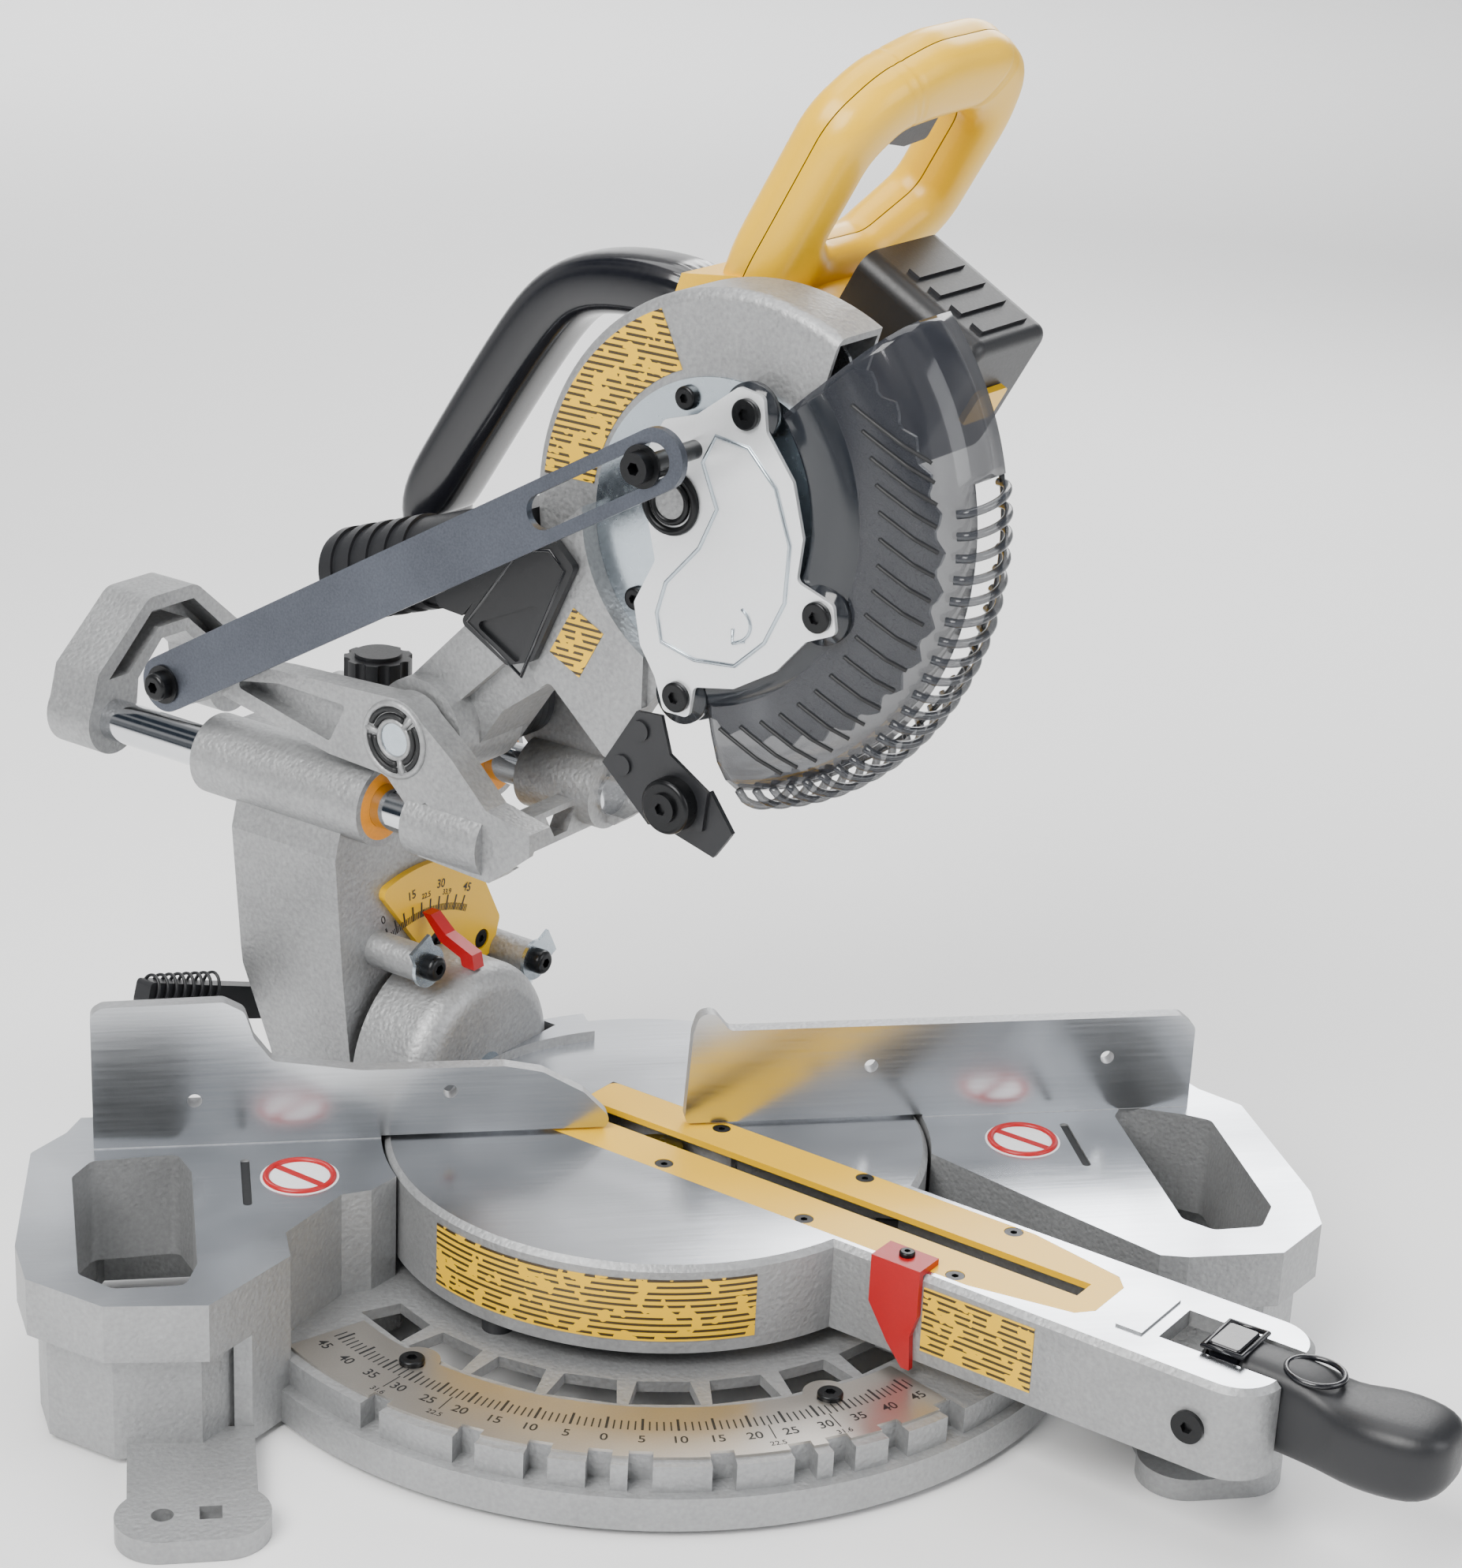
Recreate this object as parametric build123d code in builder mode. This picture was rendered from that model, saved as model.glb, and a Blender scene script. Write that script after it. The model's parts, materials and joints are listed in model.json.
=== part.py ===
from build123d import *
import math
import os

# Sliding miter saw, millimetres. The origin is on the bench under the miter pivot, +X is the
# operator's right, +Y points away from the operator and +Z is up. Everything above the base is
# drawn in the arm frame: X runs forward along the arm, Y to the operator's right, Z up, and the
# arm frame is then turned to the miter angle at which the saw is shown.

# ---- driving sizes -------------------------------------------------------------------------
miter_shown = 45.0            # arm turned to the operator's right
table_top = 79.0              # height of the work surface
deck_top = 30.0               # height of the deck that carries the miter scale
deck_thickness = 5.0
ring_radius = 195.0           # outside of the detent ring
ring_ledge = 5.0
ring_bottom = 3.0
ring_wall = 9.0
table_radius = 122.0          # turntable
table_bottom = 38.0
table_wall = 6.0
table_skin = 7.0
arm_reach = 317.0             # pivot to the end of the arm's nose
arm_half = 33.0
blade_radius = 92.0           # 184 mm saw blade
blade_thickness = 1.8
rail_radius = 10.0
rail_spread = 40.0            # each rail from the blade plane
rail_height = 215.5
rail_front = -60.0
rail_rear = -318.0
housing_front = -128.0
housing_rear = -229.0
pivot_u = -112.0              # head pivot, forward of the miter pivot when positive
pivot_z = 254.0
blade_u = 37.0                # blade centre with the head up
blade_z = 369.0
guard_u = 15.0                # lower guard pivot
guard_z = 382.6
guard_radius = 130.0
guard_fin = 10.0
guard_wall = 2.0
upper_radius = 102.0
upper_wall = 3.0
upper_left = 17.0             # left face of the upper guard
upper_right = -14.0
fence_face = 4.6              # front face of the fences behind the pivot
fence_thickness = 7.0
link_left = 60.0
link_thickness = 3.5
link_half_width = 13.0
link_nose = 7.0               # bar beyond its usual round end, past the front screw
slot_ahead = 13.5             # slot past the front screw's centre
slot_behind = 66.0
slot_play = 3.4               # room beside the screw for the guard's arc
link_rear = (-239.9, 252.4)
link_front = (25.6, 406.5)

# ---- fits ----------------------------------------------------------------------------------
running = 0.05                # radial clearance of turning and sliding fits
seat = 0.1                    # clearance of a piece laid into a recess
apart = 0.5                   # air between faces that pass each other

# ---- poses ---------------------------------------------------------------------------------
arm_pose = Location((0, 0, 0), (0, 0, miter_shown - 90.0))
base_pose = Location((0, 0, 0))

os.makedirs("parts", exist_ok=True)


def save(name, part, pose=arm_pose):
    """Put a finished piece in its pose, label it and write its STEP file."""
    placed = part.moved(pose)
    placed.label = name
    export_step(placed, "parts/" + name + ".step")


def side(left):
    """Plane parallel to the blade, so far to the operator's left: local x forward, y up."""
    return Plane.XZ.offset(left)


def level(height):
    """Horizontal plane of the arm frame: local x forward, y to the operator's right."""
    return Plane.XY.offset(height)


def across(forward):
    """Plane square to the arm: local x to the operator's right, y up, facing forward."""
    return Plane(origin=(forward, 0, 0), x_dir=(0, 1, 0), z_dir=(1, 0, 0))


def pan_screw(plane, spots, head_radius, head_height, shank_radius, shank_length):
    """A group of pan-head screws with a star recess, all standing on one plane."""
    recess = head_radius * 0.42
    with BuildPart() as screws:
        with BuildSketch(plane):
            with Locations(*spots):
                Circle(head_radius)
        extrude(amount=head_height)
        top_edges = screws.faces().sort_by(Axis(plane.origin, plane.z_dir)).group_by(
            Axis(plane.origin, plane.z_dir))[-1].edges()
        fillet(top_edges, head_height * 0.4)
        with BuildSketch(plane):
            with Locations(*spots):
                Circle(shank_radius)
        extrude(amount=-shank_length)
        with BuildSketch(plane.offset(head_height)):
            with Locations(*spots):
                RegularPolygon(recess, 6)
        extrude(amount=-head_height * 0.7, mode=Mode.SUBTRACT)
    return screws.part


# ---- base ----------------------------------------------------------------------------------
wing_skin = 6.0
wing_wall = 5.0
wing_rim_height = 26.0        # depth of the full-width band under the wing's top
wing_waist = 8.0              # how far the lower body steps in under that band
wing_back = 36.0
table_gap = 1.6               # air round the turntable
detents = (-45, -31.6, -22.5, -15, -10, 0, 10, 15, 22.5, 31.6, 45)
notch_width = 10.0
notch_inner = 186.0
notch_depth = 12.0
foot_thickness = 10.0
foot_reach = 62.0
bolt_hole = 4.5
front_foot = (222.0, -176.5)
rear_foot = (165.0, 128.0)
window_inner = 131.0
window_outer = 149.0
pivot_radius = 12.0
pad_radius = 7.0
pad_circle = 112.0
pad_top = table_bottom - running

left_wing = [
    (-104, wing_back), (-117, -29), (-131, -43), (-144, -46), (-169, -77), (-168, -97),
    (-202, -134), (-244, -131), (-275, -106), (-280, -78), (-276, 4), (-261, 22),
    (-255, wing_back),
]
right_wing = [
    (104, wing_back), (118, -29), (160, -84), (196, -130), (208, -133), (250, -133),
    (275, -110), (280, -81), (276, 4), (261, 22), (255, wing_back),
]
left_grip = [(-250, -6), (-213, -3), (-207, -20), (-206, -100), (-211, -117), (-240, -117),
             (-254, -104), (-258, -20)]
right_grip = [(219, 8), (246, -3), (257, -10), (258, -93), (248, -110), (226, -111),
              (215, -100), (213, -2)]


def wing(outline, grip, sign):
    """One hollow wing of the base with its carrying slot."""
    with BuildPart() as body:
        with BuildSketch(Plane.XY.offset(table_top - wing_rim_height)):
            Polygon(*outline, align=None)
            fillet(vertices().filter_by(lambda v: abs(v.Y) < wing_back - 1), 4)
        extrude(amount=wing_rim_height)
        with BuildSketch(Plane.XY.offset(ring_bottom)) as lower:
            Polygon(*outline, align=None)
            offset(amount=-wing_waist, kind=Kind.INTERSECTION)
            # the inner side stays in line with the band above
            with Locations((sign * 150, -40)):
                Rectangle(84, 150)
            Polygon(*outline, align=None, mode=Mode.INTERSECT)
        extrude(amount=table_top - wing_rim_height - ring_bottom)
        with BuildSketch(Plane.XY.offset(ring_bottom)):
            Polygon(*outline, align=None)
            offset(amount=-wing_waist - wing_wall, kind=Kind.INTERSECTION)
        extrude(amount=table_top - wing_skin - ring_bottom, mode=Mode.SUBTRACT)
        # wall round the carrying slot
        with BuildSketch(Plane.XY.offset(deck_top)):
            Polygon(*grip, align=None)
            offset(amount=wing_wall)
            Polygon(*outline, align=None, mode=Mode.INTERSECT)
        extrude(amount=table_top - deck_top)
        with BuildSketch(Plane.XY.offset(0)):
            Polygon(*grip, align=None)
            fillet(vertices(), 5)
        extrude(amount=table_top, mode=Mode.SUBTRACT)
    return body.part


def foot(x, y):
    """A flat mounting foot that reaches in under the body."""
    inward = -1 if x > 0 else 1
    with BuildPart() as pad:
        with BuildSketch(Plane.XY):
            with Locations((x + inward * 12, y)):
                SlotOverall(62, 38)
            toward = foot_reach if y < 0 else -foot_reach
            with Locations((x + inward * 12, y + toward / 2)):
                Rectangle(52, foot_reach)
        extrude(amount=foot_thickness)
        with BuildSketch(Plane.XY):
            with Locations((x, y)):
                Circle(bolt_hole)
            with Locations((x + inward * 19, y)):
                Rectangle(2 * bolt_hole, 2 * bolt_hole)
        extrude(amount=foot_thickness, mode=Mode.SUBTRACT)
    return pad.part


def base_casting():
    """Deck, detent ring, two wings and four feet as one casting."""
    with BuildPart() as base:
        with BuildSketch(Plane.XY.offset(deck_top - deck_thickness)):
            Circle(ring_radius)
        extrude(amount=deck_thickness)
        with BuildSketch(Plane.XY.offset(ring_bottom)):
            Circle(ring_radius)
            Circle(ring_radius - ring_wall, mode=Mode.SUBTRACT)
        extrude(amount=deck_top - ring_bottom)
        with BuildSketch(Plane.XY.offset(ring_bottom)):
            Circle(ring_radius + ring_ledge)
            Circle(ring_radius - ring_wall, mode=Mode.SUBTRACT)
        extrude(amount=foot_thickness + ring_ledge)
        with BuildSketch(Plane.XY.offset(ring_bottom)):
            Circle(4 * pivot_radius)
        extrude(amount=table_bottom - apart - ring_bottom)
        add(wing(left_wing, left_grip, -1))
        add(wing(right_wing, right_grip, 1))
        for x_sign in (-1, 1):
            add(foot(x_sign * front_foot[0], front_foot[1]))
            add(foot(x_sign * rear_foot[0], rear_foot[1]))
        # room for the turntable between the wings
        with BuildSketch(Plane.XY.offset(deck_top)):
            Circle(table_radius + table_gap)
            Circle(4 * pivot_radius, mode=Mode.SUBTRACT)
        extrude(amount=table_top - deck_top, mode=Mode.SUBTRACT)
        with BuildSketch(Plane.XY.offset(ring_bottom)):
            Circle(pivot_radius + running)
        extrude(amount=table_bottom, mode=Mode.SUBTRACT)
        # windows through the deck
        with BuildSketch(Plane.XY.offset(deck_top - deck_thickness)):
            with PolarLocations((window_inner + window_outer) / 2, 9, -150, 120):
                Trapezoid(30, window_outer - window_inner, 78, rotation=90)
        extrude(amount=deck_thickness, mode=Mode.SUBTRACT)
        # detent notches, open to the outside
        with BuildSketch(Plane.XY.offset(deck_top - notch_depth)):
            for angle in detents:
                middle = (notch_inner + ring_radius + ring_ledge + 2) / 2
                turn = math.radians(angle - 90)
                with Locations(Location((middle * math.cos(turn), middle * math.sin(turn)), angle - 90)):
                    Rectangle(ring_radius + ring_ledge + 2 - notch_inner, notch_width)
        extrude(amount=notch_depth, mode=Mode.SUBTRACT)
        # sight groove beside each disc
        with BuildSketch(Plane.XY.offset(table_top - 1)):
            with Locations(*groove_spots):
                SlotOverall(42, 4, rotation=90)
            with Locations(*disc_spots):
                Circle(disc_radius + seat)
        extrude(amount=1, mode=Mode.SUBTRACT)
        # threads for the fence bolts
        with BuildSketch(Plane.XY.offset(table_top - 14)):
            with Locations(*fence_bolts):
                Circle(fence_bolt_radius + 4)
        extrude(amount=14 - wing_skin + 1)
        with BuildSketch(Plane.XY.offset(table_top - 14)):
            with Locations(*fence_bolts):
                Circle(fence_bolt_radius)
        extrude(amount=14, mode=Mode.SUBTRACT)
    return base.part


disc_radius = 17.0
disc_spots = [(-161, -28), (164, -22)]
groove_spots = [(-184, -31), (187, -28)]
fence_bolt_radius = 3.0
fence_bolts = [(-225, 26), (-140, 26), (140, 26), (225, 26)]
fence_foot = 9.0
fence_back = wing_back - 2
fence_sink = 1.5              # air between a fence and the turntable under it
scale_thickness = 1.2
scale_inner = 153.0
scale_outer = 190.0
scale_start = -62.5           # degrees from straight ahead
scale_end = 32.5
scale_screw_radius = 4.2
scale_screw_head = 2.4
scale_screw_angles = (-48.0, 19.0)
scale_screw_circle = 159.0


def fence(profile, holes, overlap):
    """A fence half: tall plate, foot behind it and holes for a wooden facing."""
    outer = max(abs(profile[0][0]), abs(profile[-1][0]))
    sign = -1 if min(x for x, z in profile) < -50 else 1
    with BuildPart() as body:
        with BuildSketch(Plane.XZ.offset(-fence_face - fence_thickness)):
            Polygon(*[(x, z) for x, z in profile], align=None)
            fillet(vertices().group_by(Axis.Z)[-1], 5)
        extrude(amount=fence_thickness)
        with BuildSketch(Plane.XY.offset(table_top)):
            middle = sign * (outer + overlap) / 2
            with Locations((middle, (fence_face + fence_back) / 2)):
                Rectangle(outer - overlap, fence_back - fence_face)
        extrude(amount=fence_foot)
        for x, y in fence_bolts:
            if x * sign > 0:
                # gusset beside each bolt
                gusset = Plane(origin=(x + sign * 16, 0, 0), x_dir=(0, 1, 0), z_dir=(1, 0, 0))
                with BuildSketch(gusset):
                    Polygon((fence_face, table_top), (fence_back, table_top + fence_foot),
                            (fence_face + fence_thickness, table_top + 28),
                            (fence_face, table_top + 28), align=None)
                extrude(amount=5)
                with BuildSketch(Plane.XY.offset(table_top)):
                    with Locations((x, y)):
                        Circle(fence_bolt_radius + seat)
                extrude(amount=fence_foot, mode=Mode.SUBTRACT)
        with BuildSketch(Plane.XZ.offset(-fence_face - fence_thickness)):
            with Locations(*holes):
                Circle(3.2)
        extrude(amount=fence_thickness, mode=Mode.SUBTRACT)
        # air over the turntable
        with BuildSketch(Plane.XY.offset(table_top)):
            Circle(table_radius + table_gap)
        extrude(amount=fence_sink, mode=Mode.SUBTRACT)
    return body.part


def miter_scale_plate():
    """Arc-shaped steel scale with notches that match the ring."""
    with BuildPart() as plate:
        with BuildSketch(Plane.XY.offset(deck_top)):
            middle_angle = (scale_start + scale_end) / 2
            half = (scale_end - scale_start) / 2
            Circle(scale_outer)
            Circle(scale_inner, mode=Mode.SUBTRACT)
            reach = 2 * scale_outer
            corners = [(0, 0)]
            for step in (-1, -0.5, 0, 0.5, 1):
                turn = math.radians(middle_angle + step * half - 90)
                corners.append((reach * math.cos(turn), reach * math.sin(turn)))
            Polygon(*corners, align=None, mode=Mode.INTERSECT)
            for angle in scale_screw_angles:
                turn = math.radians(angle - 90)
                spot = (scale_screw_circle * math.cos(turn), scale_screw_circle * math.sin(turn))
                with Locations(Location(spot, angle - 90)):
                    SlotOverall(26, 20)
            Circle(scale_inner - 8, mode=Mode.SUBTRACT)
            for angle in detents:
                if scale_start < angle < scale_end:
                    turn = math.radians(angle - 90)
                    spot = (scale_outer * math.cos(turn), scale_outer * math.sin(turn))
                    with Locations(Location(spot, angle - 90)):
                        Rectangle(2 * (scale_outer - notch_inner), notch_width, mode=Mode.SUBTRACT)
            for angle in scale_screw_angles:
                turn = math.radians(angle - 90)
                spot = (scale_screw_circle * math.cos(turn), scale_screw_circle * math.sin(turn))
                with Locations(Location(spot, angle)):
                    SlotOverall(12, 5.2, mode=Mode.SUBTRACT)
        extrude(amount=scale_thickness)
    return plate.part


def scale_screws():
    spots = []
    for angle in scale_screw_angles:
        turn = math.radians(angle - 90)
        spots.append((scale_screw_circle * math.cos(turn), scale_screw_circle * math.sin(turn)))
    return pan_screw(Plane.XY.offset(deck_top + scale_thickness), spots,
                     scale_screw_radius + 1.3, scale_screw_head, 2.2, scale_thickness)


def wing_discs():
    """Round plastic discs let into the wings where hands stay away."""
    with BuildPart() as discs:
        with BuildSketch(Plane.XY.offset(table_top - 1)):
            with Locations(*disc_spots):
                Circle(disc_radius)
        extrude(amount=1.2)
    return discs.part


def glide_pads():
    with BuildPart() as pads:
        with BuildSketch(Plane.XY.offset(deck_top)):
            with PolarLocations(pad_circle, 4, 45):
                Circle(pad_radius)
        extrude(amount=pad_top - deck_top)
    return pads.part


def pivot_bolt():
    """Bolt that the turntable turns on, with its washer and head under the base."""
    with BuildPart() as bolt:
        with BuildSketch(Plane.XY.offset(ring_bottom)):
            Circle(pivot_radius)
        extrude(amount=table_top - table_skin - ring_bottom)
        with BuildSketch(Plane.XY.offset(ring_bottom - 2)):
            Circle(2 * pivot_radius)
        extrude(amount=2)
    return bolt.part


def fence_bolt_set():
    with BuildPart() as bolts:
        with BuildSketch(Plane.XY.offset(table_top + fence_foot)):
            with Locations(*fence_bolts):
                Circle(6)
        extrude(amount=6)
        with BuildSketch(Plane.XY.offset(table_top + fence_foot + 6)):
            with Locations(*fence_bolts):
                RegularPolygon(3, 6)
        extrude(amount=-4, mode=Mode.SUBTRACT)
        with BuildSketch(Plane.XY.offset(table_top - 12)):
            with Locations(*fence_bolts):
                Circle(fence_bolt_radius - running)
        extrude(amount=12 + fence_foot)
    return bolts.part


left_profile = [
    (-249, table_top), (-249, 144), (-244, 147), (-192, 148), (-183, 143), (-179, 130),
    (-171, 119), (-132, 113), (-69, 112.5), (-52, 109), (-33, 98), (-15, table_top),
]
right_profile = [
    (13, table_top), (15.5, 125), (18, 134), (25, 135), (32, 126), (243, 126), (250, 120),
    (250, table_top),
]

save("base_casting", base_casting(), base_pose)
save("left_fence", fence(left_profile, [(-205, 101), (-93, 101)], 118), base_pose)
save("right_fence", fence(right_profile, [(98, 106), (209, 106)], 118), base_pose)
save("fence_bolts", fence_bolt_set(), base_pose)
save("miter_scale_plate", miter_scale_plate(), base_pose)
save("scale_screws", scale_screws(), base_pose)
save("wing_discs", wing_discs(), base_pose)
save("glide_pads", glide_pads(), base_pose)
save("miter_pivot_bolt", pivot_bolt(), base_pose)

# ---- turntable -----------------------------------------------------------------------------
kerf_thickness = 3.0
kerf_front = 232.0
kerf_rear = -46.0
kerf_half = 28.0
slot_half = 6.0
slot_front = 220.0
slot_rear = -38.0
well_half = 20.0              # open well under the kerf plate
nose_radius = 20.0
lever_u = arm_reach - 29.0    # lock lever's pin
lever_z = 57.0
lever_half = 13.0
lever_slot_rear = arm_reach - 55.0
pin_radius = 4.0
plunger_radius = 5.0
plunger_z = deck_top - notch_depth / 2
support_front = -98.0
support_rear = -138.0
support_radius = 50.0
bevel_pin_radius = 9.0
cursor_u = 150.0
stop_bolt = (-126.0, 58.0)    # forward of the pivot, right of the blade plane
label_thickness = 0.4
cursor_hole = (cursor_u, -(arm_half - 6))
cursor_screw_radius = 1.6
kerf_screws = [(20, -22), (20, 22), (96, -24), (96, 24), (172, -24), (172, 24)]
kerf_outline = [
    (kerf_rear, -kerf_half), (180, -kerf_half), (kerf_front - 6, -19), (kerf_front, -12),
    (kerf_front, 12), (kerf_front - 6, 19), (180, kerf_half), (kerf_rear, kerf_half),
]


def turntable():
    """Round table and the arm that reaches forward from it, open underneath."""
    with BuildPart() as table:
        with BuildSketch(level(table_bottom)):
            Circle(table_radius)
            with Locations((arm_reach / 2, 0)):
                Rectangle(arm_reach, 2 * arm_half)
            fillet(vertices().group_by(Axis.X)[-1], nose_radius)
        extrude(amount=table_top - table_bottom)
        chamfer(table.faces().sort_by(Axis.Z)[-1].outer_wire().edges(), 2.5)
        with BuildSketch(level(table_bottom)):
            Circle(table_radius - table_wall)
            with Locations(((arm_reach - table_wall) / 2, 0)):
                Rectangle(arm_reach - table_wall, 2 * (arm_half - table_wall))
        extrude(amount=table_top - table_skin - table_bottom, mode=Mode.SUBTRACT)
        # hub and the flange that rides on the glide pads
        with BuildSketch(level(table_bottom)):
            Circle(table_radius - 0.5)
            Circle(table_radius - 21, mode=Mode.SUBTRACT)
        extrude(amount=5)
        with BuildSketch(level(table_bottom)):
            Circle(2.4 * pivot_radius)
        extrude(amount=table_top - table_skin - table_bottom)
        for turn in (30, 90, 150, 210, 270, 330):
            with BuildSketch(level(table_bottom + 8)):
                Rectangle(2 * table_radius - 14, 4, rotation=turn)
                with Locations((table_radius, 0)):
                    Rectangle(2 * table_radius - 60, 2 * well_half, mode=Mode.SUBTRACT)
            extrude(amount=table_top - table_skin - table_bottom - 8)
        # recess of the kerf plate and the well under it
        with BuildSketch(level(table_top - kerf_thickness - seat)):
            Polygon(*kerf_outline, align=None)
            offset(amount=seat)
        extrude(amount=kerf_thickness + 1, mode=Mode.SUBTRACT)
        with BuildSketch(level(table_bottom + 6)):
            with Locations(((slot_front + 36) / 2, 0)):
                Rectangle(slot_front - 36, 2 * well_half)
        extrude(amount=table_top, mode=Mode.SUBTRACT)
        with BuildSketch(level(table_top - 14)):
            with Locations(((slot_front + slot_rear) / 2, 3)):
                Rectangle(slot_front - slot_rear, 2 * slot_half + 14)
        extrude(amount=14, mode=Mode.SUBTRACT)
        with BuildSketch(level(table_bottom)):
            Circle(pivot_radius + running)
        extrude(amount=table_top - table_skin - table_bottom, mode=Mode.SUBTRACT)
        # mouth of the nose where the lock lever comes out
        with BuildSketch(level(table_bottom)):
            with Locations(((lever_slot_rear + arm_reach + 4) / 2, 0)):
                Rectangle(arm_reach + 4 - lever_slot_rear, 2 * (lever_half + apart))
        extrude(amount=table_top, mode=Mode.SUBTRACT)
        with BuildSketch(side(-arm_half)):
            with Locations((lever_u, lever_z)):
                Circle(pin_radius)
        extrude(amount=2 * arm_half, mode=Mode.SUBTRACT)
        # raised blank plate on the nose
        with BuildSketch(level(table_top)):
            with Locations((250, 0)):
                Rectangle(12, 34)
        extrude(amount=1.0)
        # rear ring behind the fences
        with BuildSketch(level(table_top)):
            Circle(table_radius - 4)
            Circle(table_radius - 24, mode=Mode.SUBTRACT)
            Polygon((0, 0), (-150, 108), (-150, -108), align=None, mode=Mode.INTERSECT)
        extrude(amount=5)
        # flat for the bevel support
        with BuildSketch(level(table_bottom)):
            with Locations(((support_front + support_rear) / 2, 0)):
                Rectangle(support_front - support_rear, 2 * support_radius)
        extrude(amount=14)
        with BuildSketch(across(support_rear)):
            with Locations((0, table_top)):
                Circle(support_radius + apart)
        extrude(amount=support_front - support_rear, mode=Mode.SUBTRACT)
        with BuildSketch(level(table_bottom + 14)):
            with Locations(((support_front + support_rear) / 2, 0)):
                Rectangle(support_front - support_rear, 2 * support_radius + 2 * apart)
        extrude(amount=60, mode=Mode.SUBTRACT)
    return table.part


def kerf_plate():
    with BuildPart() as plate:
        with BuildSketch(level(table_top - kerf_thickness)):
            Polygon(*kerf_outline, align=None)
            fillet(vertices(), 4)
            with Locations(((slot_front + slot_rear) / 2, 0)):
                Rectangle(slot_front - slot_rear, 2 * slot_half, mode=Mode.SUBTRACT)
            with Locations(*kerf_screws):
                Circle(2.1, mode=Mode.SUBTRACT)
        extrude(amount=kerf_thickness)
        with BuildSketch(level(table_top - 1.8)):
            with Locations(*kerf_screws):
                Circle(4.2)
        extrude(amount=1.8, mode=Mode.SUBTRACT)
    return plate.part


def table_screws():
    with BuildPart() as screws:
        with BuildSketch(level(table_top - 1.8)):
            with Locations(*kerf_screws):
                Circle(4.0)
        extrude(amount=1.6)
        with BuildSketch(level(table_top - 1.8)):
            with Locations(*kerf_screws):
                Circle(2.0)
        extrude(amount=-1.2)
        with BuildSketch(level(table_top - 0.2)):
            with Locations(*kerf_screws):
                RegularPolygon(1.6, 6)
        extrude(amount=-1.2, mode=Mode.SUBTRACT)
        add(pan_screw(level(table_top + 3), [cursor_hole], 3.4, 2.0, cursor_screw_radius, 3.0))
    return screws.part


def miter_cursor():
    """Red pointer that hangs over the arm's left flank down to the scale."""
    top = table_top
    low = deck_top + scale_thickness + scale_screw_head + 0.6
    with BuildPart() as cursor:
        with BuildSketch(side(arm_half)):
            Polygon((cursor_u - 12, top - 4), (cursor_u - 12, 60), (cursor_u - 2, 44),
                    (cursor_u + 6, low), (cursor_u + 10, low), (cursor_u + 9, 50),
                    (cursor_u + 12, 60), (cursor_u + 12, top - 4), align=None)
        extrude(amount=3)
        with BuildSketch(side(arm_half - 12)):
            Polygon((cursor_u - 12, top), (cursor_u - 12, top + 3), (cursor_u + 12, top + 3),
                    (cursor_u + 12, top), align=None)
        extrude(amount=15)
        with BuildSketch(side(arm_half)):
            Polygon((cursor_u - 12, top - 5), (cursor_u - 12, top + 3), (cursor_u + 12, top + 3),
                    (cursor_u + 12, top - 5), align=None)
        extrude(amount=3)
        with BuildSketch(level(table_top)):
            with Locations(cursor_hole):
                Circle(cursor_screw_radius + running)
        extrude(amount=3, mode=Mode.SUBTRACT)
    return cursor.part


def table_labels():
    """Two plain yellow labels: one round the table's wall, one on the arm's flank."""
    with BuildPart() as labels:
        with BuildSketch(level(table_bottom + 6)):
            Circle(table_radius + label_thickness)
            Circle(table_radius, mode=Mode.SUBTRACT)
            Polygon((0, 0), (167, -110), (90, -200), (-47, -194), align=None, mode=Mode.INTERSECT)
        extrude(amount=table_top - table_bottom - 12)
        with BuildSketch(side(arm_half)):
            Polygon((cursor_u + 13, 44), (cursor_u + 13, 74), (cursor_u + 66, 74),
                    (cursor_u + 66, 44), align=None)
        extrude(amount=label_thickness)
    return labels.part


def bevel_support():
    """Domed bracket on the back of the table that carries the bevel pivot."""
    with BuildPart() as support:
        with BuildSketch(across(support_rear)):
            with Locations((0, table_top)):
                Circle(support_radius)
            with Locations((0, (table_bottom + 14 + table_top) / 2)):
                Rectangle(2 * support_radius, table_top - table_bottom - 14)
            Polygon((-70, table_bottom + 14), (-70, 140), (70, 140), (70, table_bottom + 14),
                    align=None, mode=Mode.INTERSECT)
        extrude(amount=support_front - support_rear)
        fillet(support.faces().sort_by(Axis.X)[-1].edges().filter_by(GeomType.CIRCLE), 12)
        with BuildSketch(across(support_rear)):
            with Locations((0, table_top)):
                Circle(bevel_pin_radius)
        extrude(amount=support_front - support_rear, mode=Mode.SUBTRACT)
    return support.part


def bevel_pointer():
    """Red pointer that rises in front of the bevel scale."""
    with BuildPart() as pointer:
        with BuildSketch(side(-3.5)):
            Polygon((-112, 129.4), (-104, 127), (-106, 136), (-122, 142), (-131, 149.5),
                    (-136, 149.5), (-125, 137.5), (-113, 133), align=None)
        extrude(amount=7)
        with BuildSketch(across(support_rear)):
            with Locations((0, table_top)):
                Circle(support_radius + running)
        extrude(amount=support_front - support_rear, mode=Mode.SUBTRACT)
    return pointer.part


def bevel_pivot_pin():
    with BuildPart() as pin:
        with BuildSketch(across(support_front)):
            with Locations((0, table_top)):
                Circle(bevel_pin_radius)
        extrude(amount=-(support_front - trunk_rear))
    return pin.part


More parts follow.
